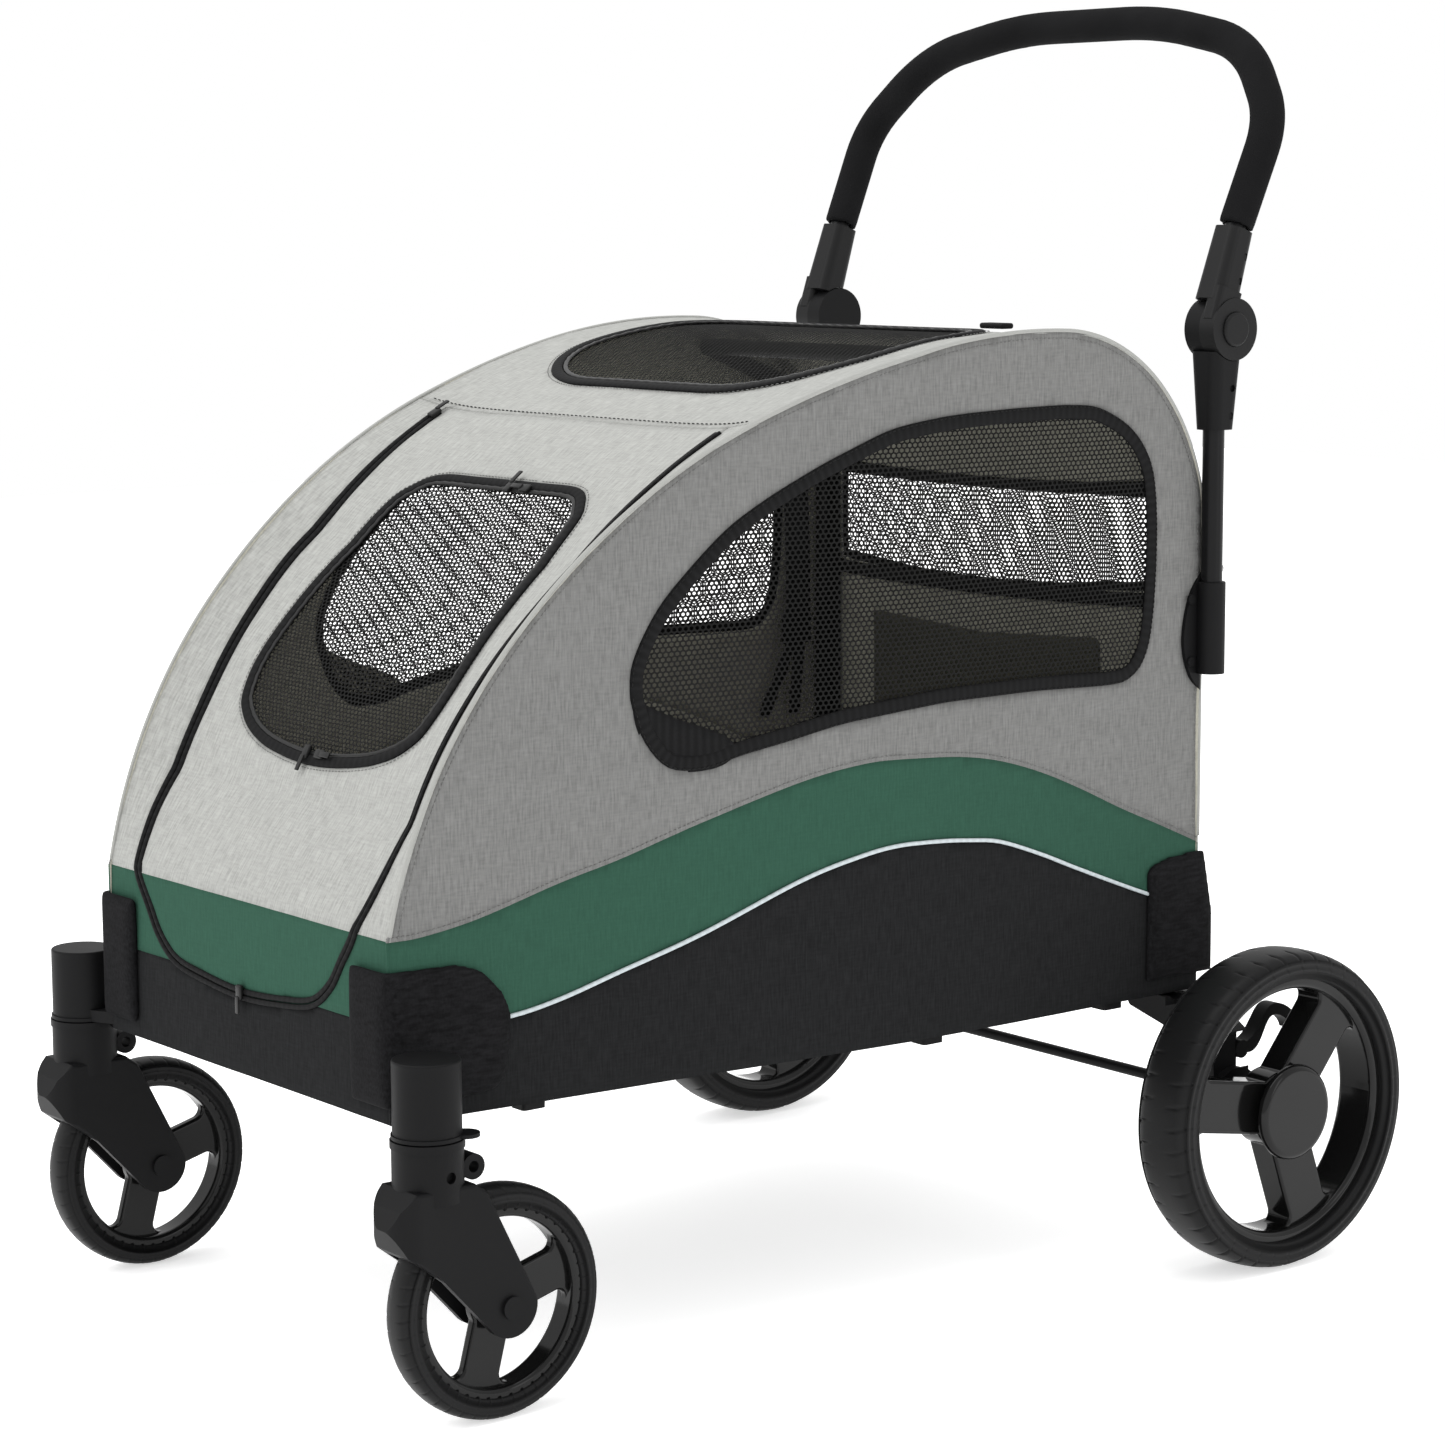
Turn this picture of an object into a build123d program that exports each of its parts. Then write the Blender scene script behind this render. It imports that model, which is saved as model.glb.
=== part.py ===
"""Pet stroller: a fabric cabin on two folding hoops, two swivel casters and two large rear wheels.

Millimetres. The origin is on the floor at the middle of the object's footprint. +Z is up, the front
(casters and zip door) faces -Y, the push handle is at +Y, and +X is the stroller's left.
"""
from build123d import *
from math import cos, radians, sin
import os

os.makedirs("parts", exist_ok=True)

# ---------------------------------------------------------------- driving dimensions
SIDES = {"left": 1, "right": -1}

CABIN_FRONT = -460.0          # front face of the cabin
CABIN_BACK = 369.0            # rear face of the cabin
CABIN_BOTTOM = 228.0
FRONT_HALF = 216.0            # half width at the front face
REAR_HALF = 256.0             # half width from TAPER_END to the back
TAPER_END = 40.0
CLOTH = 2.4                   # thickness of the cabin cloth
MESH = 0.8                    # thickness of the window mesh

SEAM = (-120.0, 752.0)        # roof seam over the door, y and z
RIDGE = (210.0, 814.0)        # highest point of the roof
SHOULDER = (369.0, 664.0)     # where the roof turns down into the back wall
BACK_SEAM = 690.0             # height of the seam between roof and back wall

HOOP_R = 8.0                  # hoop tubes
FRONT_HOOP_X = 206.0
REAR_HOOP_X = 245.0
FRONT_PIVOT = (-436.0, 300.0)
REAR_PIVOT = (352.0, 300.0)
PIVOT_PIN_R = 4.0
RUN_GAP = 0.05                # radial running clearance of pins and stems

BOARD_Z = 249.4
BOARD_T = 5.0
CUSHION_T = 30.0

POST_X = 267.2                # caster post axis
POST_Y = CABIN_FRONT
POST_R = 26.5
POST_BOTTOM = 230.0
POST_TOP = 290.2
STEM_R = 8.0
TRAIL = 58.0                  # caster axle behind the post axis
CASTER_R = 92.0
CASTER_W = 31.0
CASTER_AXLE_R = 4.0
SPOKE_ROUND = 3.0
CAP_RISE = 7.0

REAR_AXLE_Y = 361.8
REAR_WHEEL_X = 356.3
REAR_WHEEL_R = 140.0
REAR_WHEEL_W = 58.0
REAR_AXLE_R = 5.0

HANDLE_X = 266.0
TUBE_R = 9.5                  # handle tubes, 19 mm
TUBE_Y = 371.0
SOCKET_R = 12.5
HINGE_Y = 378.0
HINGE_Z = 813.0
HINGE_R = 27.0
HALF_DRUM = 17.5              # the lower sleeve holds the inner half of the hinge drum, the upper one the outer
HINGE_PIN_R = 5.0
HINGE_BUTTON_R = 15.0
SCREW_HOLE_R = 3.2
FOAM_R = 15.5
BOW_TILT = 23.2               # the push bar leans back by this angle
BOW_FOOT_Y = 392.6            # where the foam starts
BOW_FOOT_Z = 898.5


def save(piece, name):
    """Label a finished piece and write it."""
    piece.label = name
    export_step(piece, f"parts/{name}.step")


# ---------------------------------------------------------------- cabin outlines
def cabin_outline(inset):
    """Side outline of the cabin in the YZ plane, moved inwards by inset."""
    with BuildSketch(Plane.YZ) as outline:
        with BuildLine():
            front = Line((CABIN_FRONT, CABIN_BOTTOM), (CABIN_FRONT + 2, 371))
            nose = TangentArc(front @ 1, (-355, 583), tangent=(0.2, 1))
            brow = TangentArc(nose @ 1, SEAM, tangent=nose % 1)
            roof = TangentArc(brow @ 1, (54, 804), tangent=brow % 1)
            crest = TangentArc(roof @ 1, RIDGE, tangent=roof % 1)
            slope = TangentArc(crest @ 1, (323, 759), tangent=(1, -0.08))
            back = TangentArc(slope @ 1, SHOULDER, tangent=slope % 1)
            wall = Line(back @ 1, (CABIN_BACK, CABIN_BOTTOM))
            Line(wall @ 1, front @ 0)
        make_face()
        if inset > 0:
            offset(amount=-inset, kind=Kind.INTERSECTION)
    return outline.sketch


def cabin_plan(inset):
    """Plan outline of the cabin: it tapers towards the front."""
    front = FRONT_HALF - inset
    rear = REAR_HALF - inset
    low = CABIN_FRONT - 20
    high = CABIN_BACK + 20
    slope = (REAR_HALF - FRONT_HALF) / (TAPER_END - CABIN_FRONT)
    tip = front - slope * 20
    with BuildSketch(Plane.XY) as plan:
        with BuildLine():
            Polyline((-tip, low), (tip, low), (rear, TAPER_END), (rear, high), (-rear, high),
                     (-rear, TAPER_END), close=True)
        make_face()
    return plan.sketch


def cabin_core(side_inset, outline_inset):
    """Solid cabin, moved inwards from its sides and from its outline."""
    with BuildPart() as core:
        add(extrude(cabin_plan(side_inset), amount=1000, mode=Mode.PRIVATE))
        add(extrude(cabin_outline(outline_inset), amount=400, both=True, mode=Mode.PRIVATE),
            mode=Mode.INTERSECT)
    return core.part


def cabin_band(outer_inset, inner_inset):
    """Cloth that runs up the front, over the roof and down the back, between two insets."""
    with BuildPart() as band:
        add(extrude(cabin_outline(outer_inset), amount=300, both=True, mode=Mode.PRIVATE))
        add(extrude(cabin_outline(inner_inset), amount=320, both=True, mode=Mode.PRIVATE),
            mode=Mode.SUBTRACT)
        add(extrude(cabin_plan(CLOTH), amount=1000, mode=Mode.PRIVATE), mode=Mode.INTERSECT)
    return band.part


def cabin_sides(outer_inset, inner_inset):
    """Cloth of both sides, between two insets."""
    with BuildPart() as sides:
        add(cabin_core(outer_inset, 0))
        add(extrude(cabin_plan(inner_inset), amount=1000, mode=Mode.PRIVATE), mode=Mode.SUBTRACT)
    return sides.part


BAND = cabin_band(0, CLOTH)
MESH_BAND = cabin_band(MESH, 2 * MESH)
SKIN = cabin_sides(0, CLOTH)
MESH_SKIN = cabin_sides(MESH, 2 * MESH)


def slab(low, high):
    """A block between two corners."""
    size = [high[i] - low[i] for i in range(3)]
    middle = tuple((high[i] + low[i]) / 2 for i in range(3))
    with BuildPart() as block:
        with Locations(middle):
            Box(*size)
    return block.part


def door_prism(gap):
    """The door's U shape seen from the front, run through the front of the cabin."""
    with BuildSketch(Plane.XZ) as u_shape:
        with BuildLine():
            side = Spline((202 - gap, 746 - gap), (183 - gap, 552), (180 - gap, 420), (149 - gap, 343),
                          (92 - gap, 300), (0, 293 + gap), tangents=[(-0.1, -1), (-1, 0)])
            mirror(side, Plane.YZ)
            Line((202 - gap, 746 - gap), (-202 + gap, 746 - gap))
        make_face()
    with BuildPart() as prism:
        add(extrude(u_shape.sketch, amount=520, mode=Mode.PRIVATE))
    return prism.part


def door_window_prism(grow):
    """The door window seen from the front."""
    with BuildSketch(Plane.XZ) as shape:
        with Locations((0, 599)):
            RectangleRounded(288 + 2 * grow, 226 + 2 * grow, 44)
    with BuildPart() as prism:
        add(extrude(shape.sketch, amount=520, mode=Mode.PRIVATE))
    return prism.part


def side_window_prism(side):
    """The side window's outline run through one side of the cabin."""
    with BuildSketch(Plane.YZ) as shape:
        with BuildLine():
            Spline((-240, 546), (-175, 645), (-80, 703), (19, 740), (128, 750), (208, 751), (279, 729),
                   (309, 667), (306, 563), (283, 517), (176, 514), (0, 508), (-138, 487), (-195, 480),
                   (-228, 506), periodic=True)
        make_face()
    with BuildPart() as prism:
        add(extrude(shape.sketch, amount=side * 300, mode=Mode.PRIVATE))
    return prism.part


def roof_window_prism():
    """The roof window seen from above."""
    with BuildSketch(Plane.XY) as shape:
        with Locations((0, 66)):
            Rectangle(410, 247)
        corners = shape.vertices().sort_by(Axis.Y)
        fillet(corners[:2], 120)
        corners = shape.vertices().sort_by(Axis.Y)
        fillet(corners[-2:], 60)
    with BuildPart() as prism:
        add(extrude(shape.sketch, amount=900, mode=Mode.PRIVATE))
    return prism.part


def rear_window_prism():
    """The ventilation mesh in the back wall, seen from behind."""
    with BuildSketch(Plane.XZ) as shape:
        with Locations((0, 627)):
            RectangleRounded(424, 102, 24)
    with BuildPart() as prism:
        add(extrude(shape.sketch, amount=-500, mode=Mode.PRIVATE))
    return prism.part


# ---------------------------------------------------------------- cabin cloth
FRONT_ZONE = slab((-300, -480, 200), (300, SEAM[0], 800))
ROOF_ZONE = slab((-300, SEAM[0], BACK_SEAM), (300, 400, 840))
REAR_ZONE = slab((-300, 300, CABIN_BOTTOM), (300, 400, BACK_SEAM))
NOTCH = slab((-300, -470, 200), (300, -414, 241.5))


def make_cabin_cloth():
    """Front surround, roof, back wall and the two side panels."""
    with BuildPart() as front_surround:
        add(BAND)
        add(FRONT_ZONE, mode=Mode.INTERSECT)
        add(door_prism(0), mode=Mode.SUBTRACT)
        add(slab((-300, CABIN_FRONT + CLOTH, 200), (300, SEAM[0], 235)), mode=Mode.SUBTRACT)
    save(front_surround.part, "front_surround")

    with BuildPart() as roof_panel:
        add(BAND)
        add(ROOF_ZONE, mode=Mode.INTERSECT)
        add(roof_window_prism(), mode=Mode.SUBTRACT)
    save(roof_panel.part, "roof_panel")

    with BuildPart() as roof_window:
        add(MESH_BAND)
        add(roof_window_prism(), mode=Mode.INTERSECT)
        add(ROOF_ZONE, mode=Mode.INTERSECT)
    save(roof_window.part, "roof_window")

    with BuildPart() as rear_panel:
        add(BAND)
        add(REAR_ZONE, mode=Mode.INTERSECT)
        add(rear_window_prism(), mode=Mode.SUBTRACT)
        add(slab((-300, 300, 200), (300, CABIN_BACK - CLOTH, 240)), mode=Mode.SUBTRACT)
    save(rear_panel.part, "rear_panel")

    with BuildPart() as rear_window:
        add(MESH_BAND)
        add(rear_window_prism(), mode=Mode.INTERSECT)
        add(REAR_ZONE, mode=Mode.INTERSECT)
    save(rear_window.part, "rear_window")

    for name, side in SIDES.items():
        half = slab((min(0, side * 300), -500, 200), (max(0, side * 300), 400, 840))
        with BuildPart() as side_panel:
            add(SKIN)
            add(half, mode=Mode.INTERSECT)
            add(side_window_prism(side), mode=Mode.SUBTRACT)
            add(NOTCH, mode=Mode.SUBTRACT)
        save(side_panel.part, f"side_panel_{name}")

        with BuildPart() as side_window:
            add(MESH_SKIN)
            add(half, mode=Mode.INTERSECT)
            add(side_window_prism(side), mode=Mode.INTERSECT)
        save(side_window.part, f"side_window_{name}")


def make_door():
    """Zip door: a curved cloth panel that hinges at the roof seam, its mesh window and two sliders."""
    with BuildPart() as door_panel:
        add(BAND)
        add(FRONT_ZONE, mode=Mode.INTERSECT)
        add(door_prism(0.6), mode=Mode.INTERSECT)
        add(slab((-300, CABIN_FRONT + CLOTH, 200), (300, SEAM[0], 235)), mode=Mode.SUBTRACT)
        add(door_window_prism(0), mode=Mode.SUBTRACT)
    save(door_panel.part, "door_panel")

    with BuildPart() as door_window:
        add(MESH_BAND)
        add(door_window_prism(0), mode=Mode.INTERSECT)
        add(FRONT_ZONE, mode=Mode.INTERSECT)
    save(door_window.part, "door_window")

    with BuildPart() as sliders:
        for x in (-9, 9):
            with Locations((x, CABIN_FRONT - 3, 303)):
                Box(9, 5, 14)
            with Locations((x, CABIN_FRONT - 3, 286)):
                Box(5, 2, 20)
        fillet(sliders.edges().filter_by(Axis.Y).group_by(Axis.Z)[-1], 2)
    save(sliders.part, "zip_sliders")


# ---------------------------------------------------------------- corner pads
def make_corner_pads():
    """Padded covers over the four hoop pivots."""
    slope = (REAR_HALF - FRONT_HALF) / (TAPER_END - CABIN_FRONT)
    with BuildPart() as front_pads:
        with BuildSketch(Plane.YZ) as front_leaf:
            with BuildLine():
                top = Line((CABIN_FRONT - 4, 347), (-414, 347))
                curve = Spline(top @ 1, (-371, 331), (-355, 297), (-363, 254), (-397, 242),
                               tangents=[(1, 0), (-1, -0.1)])
                Polyline(curve @ 1, (CABIN_FRONT - 4, 242), top @ 0)
            make_face()
        extrude(amount=400, both=True)
        add(extrude(cabin_plan(-4.4), amount=900, mode=Mode.PRIVATE), mode=Mode.INTERSECT)
        add(extrude(cabin_plan(-0.4), amount=900, mode=Mode.PRIVATE), mode=Mode.SUBTRACT)
        for side in (1, -1):
            reach = FRONT_HALF + 4.4 - slope * 4
            with Locations((side * (reach - 26), CABIN_FRONT - 2.4, 294.5)):
                Box(52, 3.2, 105)
    save(front_pads.part, "front_corner_pads")

    with BuildPart() as rear_pads:
        with BuildSketch(Plane.YZ) as rear_leaf:
            with BuildLine():
                arc = Spline((306, 321), (307, 342), (334, 351), (372, 353), tangents=[(0, 1), (1, 0.05)])
                Polyline(arc @ 1, (383, 297), (384, 244), (304, 244), arc @ 0)
            make_face()
        for side in (1, -1):
            add(extrude(rear_leaf.sketch.moved(Location((side * (REAR_HALF + 0.4), 0, 0))),
                        amount=side * 4, mode=Mode.PRIVATE))
    save(rear_pads.part, "rear_corner_pads")


# ---------------------------------------------------------------- base
def make_base():
    """Base tubes, floor board, cushion, pivot brackets and small clips."""
    front_y = -445.0
    rear_y = 340.0
    cross_z = 231.0
    with BuildPart() as cross_tubes:
        for y in (front_y, rear_y):
            with BuildSketch(Plane.YZ.offset(-236)):
                with Locations((y, cross_z)):
                    Circle(9)
                    Circle(7.8, mode=Mode.SUBTRACT)
            extrude(amount=472)
    save(cross_tubes.part, "cross_tubes")

    with BuildPart() as base_rails:
        for x in (-180, 180):
            with BuildSketch(Plane.XZ.offset(-rear_y)):
                with Locations((x, 240)):
                    Circle(9)
                    Circle(7.8, mode=Mode.SUBTRACT)
            extrude(amount=rear_y - front_y)
        for y in (front_y, rear_y):
            with Locations(Location((0, y, cross_z), (0, 90, 0))):
                Cylinder(9.05, 500, mode=Mode.SUBTRACT)
    rails = [rail for rail in base_rails.part.solids() if rail.volume > 5000]
    save(Compound(children=rails), "base_rails")

    with BuildPart() as floor_board:
        add(extrude(cabin_plan(6), amount=600, mode=Mode.PRIVATE))
        add(slab((-300, -452, BOARD_Z), (300, 360, BOARD_Z + BOARD_T)), mode=Mode.INTERSECT)
        fillet(floor_board.edges().filter_by(Axis.Z), 8)
    save(floor_board.part, "floor_board")

    with BuildPart() as floor_cushion:
        low = BOARD_Z + BOARD_T + 0.4
        add(extrude(cabin_plan(26), amount=600, mode=Mode.PRIVATE))
        add(slab((-300, -424, low), (300, 330, low + CUSHION_T)), mode=Mode.INTERSECT)
        fillet(floor_cushion.edges().filter_by(Axis.Z), 30)
        fillet(floor_cushion.faces().sort_by(Axis.Z)[-1].edges(), 10)
    save(floor_cushion.part, "floor_cushion")

    for label, hoop_x, pivot in (("front", FRONT_HOOP_X, FRONT_PIVOT), ("rear", REAR_HOOP_X, REAR_PIVOT)):
        foot_z = BOARD_Z + BOARD_T
        with BuildPart() as brackets:
            for side in (1, -1):
                with Locations((side * (hoop_x + 5.7), pivot[0], (foot_z + pivot[1] + 8) / 2)):
                    Box(2.4, 26, pivot[1] + 8 - foot_z)
                with Locations((side * (hoop_x - 1), pivot[0], foot_z + 1.5)):
                    Box(13, 26, 3)
                with Locations(Location((side * hoop_x, pivot[0], pivot[1]), (0, 90, 0))):
                    Cylinder(PIVOT_PIN_R, 12)
                with Locations(Location((side * (hoop_x - 5.6), pivot[0], pivot[1]), (0, 90, 0))):
                    Cylinder(6.5, 2)
        save(brackets.part, f"{label}_pivot_brackets")

    with BuildPart() as base_clips:
        for side in (1, -1):
            for y in (-330, 60, 270):
                half = min(REAR_HALF, FRONT_HALF + 0.08 * (y - CABIN_FRONT))
                with Locations((side * (half - 12), y, CABIN_BOTTOM - 3.2)):
                    Box(18, 22, 6)
        fillet(base_clips.edges().filter_by(Axis.Z), 3)
    save(base_clips.part, "base_clips")


# ---------------------------------------------------------------- hoops
def hoop(path, x, bow, pivot):
    """Two bent side tubes with a cross bow at their top and an eyelet at each foot."""
    with BuildPart() as frame:
        for side in (1, -1):
            with BuildLine(Plane.YZ.offset(side * x)) as line:
                FilletPolyline(*path, radius=60)
            with BuildSketch(Plane(origin=line.line @ 0, z_dir=line.line % 0)):
                Circle(HOOP_R)
            sweep(path=line.line)
        with Locations(Location((0, bow[0], bow[1]), (0, 90, 0))):
            Cylinder(HOOP_R, 2 * x)
        for side in (1, -1):
            with Locations(Location((side * x, pivot[0], pivot[1]), (0, 90, 0))):
                Cylinder(11, 8)
                Cylinder(PIVOT_PIN_R + RUN_GAP, 40, mode=Mode.SUBTRACT)
            with Locations((side * (x + 54), pivot[0], pivot[1])):
                Box(100, 34, 36, mode=Mode.SUBTRACT)
            with Locations((side * (x - 54), pivot[0], pivot[1])):
                Box(100, 34, 36, mode=Mode.SUBTRACT)
    return frame.part


def make_hoops():
    """Front hoop, rear hoop and the handle sockets riveted to the rear hoop."""
    front_path = [FRONT_PIVOT, (-434, 390), (-385, 500), (-288, 610), (-118, 716)]
    save(hoop(front_path, FRONT_HOOP_X, front_path[-1], FRONT_PIVOT), "front_hoop")
    rear_path = [REAR_PIVOT, (355, 655), (316, 745), (210, 788)]
    save(hoop(rear_path, REAR_HOOP_X, rear_path[-1], REAR_PIVOT), "rear_hoop")

    for name, side in SIDES.items():
        with BuildPart() as socket:
            with BuildSketch(Plane.XY.offset(512)):
                with Locations((side * HANDLE_X, TUBE_Y)):
                    Circle(SOCKET_R)
            extrude(amount=81)
            fillet(socket.edges().group_by(Axis.Z)[-1], 1.2)
            with BuildSketch(Plane.YZ.offset(side * (REAR_HALF + 0.5))):
                with BuildLine():
                    leaf = Spline((371, 605), (355, 586), (346, 560), (345, 532), (356, 506), (371, 494),
                                  tangents=[(-0.7, -0.7), (0.8, -0.6)])
                    Line(leaf @ 1, leaf @ 0)
                make_face()
            extrude(amount=side * 3.6)
            with Locations(*[Location((side * (REAR_HALF + 4.6), 352, z), (0, 90, 0)) for z in (578, 523)]):
                Cylinder(4.2, 2.6)
            with Locations((side * HANDLE_X, TUBE_Y, 550)):
                Cylinder(TUBE_R + RUN_GAP, 200, mode=Mode.SUBTRACT)
            with Locations((0, TUBE_Y, 550)):
                Box(2 * REAR_HALF + 0.6, 80, 200, mode=Mode.SUBTRACT)
        save(socket.part, f"handle_socket_{name}")


# ---------------------------------------------------------------- handle
BOW_PLANE = Plane(origin=(0, BOW_FOOT_Y, BOW_FOOT_Z), x_dir=(1, 0, 0),
                  z_dir=(0, -cos(radians(BOW_TILT)), sin(radians(BOW_TILT))))


def bow_path(low):
    """Centreline of the push bar in its leaning plane, from low on one arm to low on the other."""
    arm = [(HANDLE_X, low), (HANDLE_X + 4, 104), (212, 177), (92, 203)]
    arm[0] = (HANDLE_X + 4 * (low + 22) / 126, low)
    radii = [78, 120, 420]
    points = arm + [(-x, h) for x, h in reversed(arm)]
    with BuildLine(BOW_PLANE) as line:
        FilletPolyline(*points, radius=radii + radii[::-1])
    return line.line


def swept(path, radius, bore):
    """Round bar or sleeve along a path."""
    with BuildPart() as bar:
        with BuildSketch(Plane(origin=path @ 0, z_dir=path % 0)):
            Circle(radius)
            if bore > 0:
                Circle(bore, mode=Mode.SUBTRACT)
        sweep(path=path)
    return bar.part


def make_handle():
    """Lower tubes with their sleeves, upper sleeves, push bar and foam."""
    for name, side in SIDES.items():
        x = side * HANDLE_X
        with BuildPart() as tube:
            with BuildSketch(Plane.XY.offset(520)):
                with Locations((x, TUBE_Y)):
                    Circle(TUBE_R)
                    Circle(TUBE_R - 1.5, mode=Mode.SUBTRACT)
            extrude(amount=240)
            for z in (604, 640, 660):
                with Locations(Location((x, TUBE_Y + TUBE_R, z), (90, 0, 0))):
                    Cylinder(4.1, 8, mode=Mode.SUBTRACT)
        save(tube.part, f"handle_tube_{name}")

        with BuildPart() as lower_sleeve:
            with BuildSketch(Plane.XY.offset(726)):
                with Locations((x, TUBE_Y + 1)):
                    RectangleRounded(27, 28, 10)
            with BuildSketch(Plane.XY.offset(794)):
                with Locations((x, HINGE_Y - 5)):
                    RectangleRounded(34, 36, 10)
            loft()
            with Locations(Location((x - side * HALF_DRUM / 2, HINGE_Y, HINGE_Z), (0, 90, 0))):
                Cylinder(HINGE_R, HALF_DRUM)
            with Locations(Location((x + side * (HALF_DRUM / 2 + 1), HINGE_Y, HINGE_Z), (0, 90, 0))):
                Cylinder(HINGE_R + 0.5, HALF_DRUM + 2, mode=Mode.SUBTRACT)
            with Locations(Location((x + side * 5, HINGE_Y, HINGE_Z), (0, 90, 0))):
                Cylinder(HINGE_PIN_R, 12)
            with Locations((x, TUBE_Y, 720)):
                Cylinder(TUBE_R + 0.02, 80, mode=Mode.SUBTRACT)
            for z in (738, 762):
                with Locations(Location((x + side * 15, TUBE_Y + 7, z), (0, 90, 0))):
                    Cylinder(SCREW_HOLE_R, 5, mode=Mode.SUBTRACT)
        save(lower_sleeve.part, f"lower_sleeve_{name}")

        lean = Plane(origin=(x, HINGE_Y - 14, HINGE_Z), x_dir=(1, 0, 0),
                     z_dir=(0, BOW_FOOT_Y - HINGE_Y + 14, BOW_FOOT_Z - HINGE_Z))
        reach = (Vector(0, BOW_FOOT_Y, BOW_FOOT_Z) - Vector(0, HINGE_Y - 14, HINGE_Z)).length
        with BuildPart() as upper_sleeve:
            with BuildSketch(lean.offset(24)):
                RectangleRounded(32, 30, 9)
            with BuildSketch(lean.offset(reach)):
                RectangleRounded(28, 27, 8)
            loft()
            with BuildSketch(lean.offset(6)):
                with Locations((side * (HALF_DRUM / 2 - 0.4), 0)):
                    RectangleRounded(HALF_DRUM - 1.2, 29, 5)
            extrude(amount=30)
            with Locations(Location((x + side * HALF_DRUM / 2, HINGE_Y, HINGE_Z), (0, 90, 0))):
                Cylinder(HINGE_R, HALF_DRUM)
            with Locations(Location((x - side * (HALF_DRUM / 2 + 1 - RUN_GAP), HINGE_Y, HINGE_Z), (0, 90, 0))):
                Cylinder(HINGE_R + 0.6, HALF_DRUM + 2, mode=Mode.SUBTRACT)
            with Locations(Location((x + side * (HALF_DRUM - 2.5), HINGE_Y, HINGE_Z), (0, 90, 0))):
                Cylinder(HINGE_BUTTON_R + 0.3, 6, mode=Mode.SUBTRACT)
            with Locations(Location((x, HINGE_Y, HINGE_Z), (0, 90, 0))):
                Cylinder(HINGE_PIN_R + RUN_GAP, 60, mode=Mode.SUBTRACT)
            for reach_to_hole in (46, 68):
                hole = lean.from_local_coords(Vector(side * 15, 8, reach_to_hole))
                with Locations(Location((hole.X, hole.Y, hole.Z), (0, 90, 0))):
                    Cylinder(SCREW_HOLE_R, 5, mode=Mode.SUBTRACT)
            add(swept(bow_path(-22), TUBE_R + 0.02, 0), mode=Mode.SUBTRACT)
        save(upper_sleeve.part, f"upper_sleeve_{name}")

        with BuildPart() as hinge_button:
            with BuildSketch(Plane.YZ.offset(x + side * 15)):
                with Locations((HINGE_Y, HINGE_Z)):
                    Circle(HINGE_BUTTON_R)
            extrude(amount=side * 5.5)
            fillet(hinge_button.edges().group_by(Axis.X)[-1 if side > 0 else 0], 2.4)
        save(hinge_button.part, f"hinge_button_{name}")

        with BuildPart() as height_button:
            with Locations(Location((x, TUBE_Y + 9.4, 604), (90, 0, 0))):
                Cylinder(4, 5)
            fillet(height_button.edges().group_by(Axis.Y)[-1], 1.5)
        save(height_button.part, f"height_button_{name}")

    save(swept(bow_path(-22), TUBE_R, TUBE_R - 1.5), "handle_bow")
    save(swept(bow_path(3), FOAM_R, TUBE_R + 0.02), "handle_foam")


# ---------------------------------------------------------------- casters
def wheel_ring(radius, width, inner, shoulder, plane):
    """Tyre: a ring with rounded shoulders around the axis of plane."""
    with BuildPart() as ring:
        with BuildSketch(plane):
            Circle(radius)
            Circle(inner, mode=Mode.SUBTRACT)
        extrude(amount=width / 2, both=True)
        outer = ring.edges().filter_by(GeomType.CIRCLE).group_by(SortBy.RADIUS)[-1]
        fillet(outer, shoulder)
    return ring.part


def wheel_rim(outer, barrel, width, hub, bore, spoke, first_angle, plane):
    """Rim: barrel, three wide spokes that flow into it and into the hub."""
    turn = radians(first_angle)
    spoke_plane = Plane(origin=plane.origin, x_dir=(0, cos(turn), sin(turn)), z_dir=(1, 0, 0))
    with BuildPart() as web:
        with BuildSketch(spoke_plane) as star:
            Circle(barrel + 2)
            Circle(barrel, mode=Mode.SUBTRACT)
            Circle(hub)
            with PolarLocations((barrel + 1) / 2, 3):
                Rectangle(barrel + 1, spoke)
            corners = [v for v in star.vertices() if abs((v.X ** 2 + v.Y ** 2) ** 0.5 - barrel) < 1]
            fillet(corners, 8)
            corners = [v for v in star.vertices() if abs((v.X ** 2 + v.Y ** 2) ** 0.5 - hub) < 1]
            fillet(corners, 3)
        extrude(amount=width / 2 - 9, both=True)
        gaps = [wire for face in web.faces().sort_by(Axis.X)[:1] + web.faces().sort_by(Axis.X)[-1:]
                for wire in face.inner_wires()]
        fillet([edge for wire in gaps for edge in wire.edges()], SPOKE_ROUND)
    with BuildPart() as rim:
        with BuildSketch(plane):
            Circle(outer)
            Circle(barrel, mode=Mode.SUBTRACT)
        extrude(amount=width / 2 - 2, both=True)
        inner_lips = rim.edges().filter_by(GeomType.CIRCLE).group_by(SortBy.RADIUS)[0]
        fillet(inner_lips, (outer - barrel) * 0.6)
        add(web.part)
        with BuildSketch(plane):
            Circle(hub * 0.72)
        extrude(amount=width / 2 + 1, both=True)
        with BuildSketch(plane):
            Circle(bore)
        extrude(amount=width, both=True, mode=Mode.SUBTRACT)
    return rim.part


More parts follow.
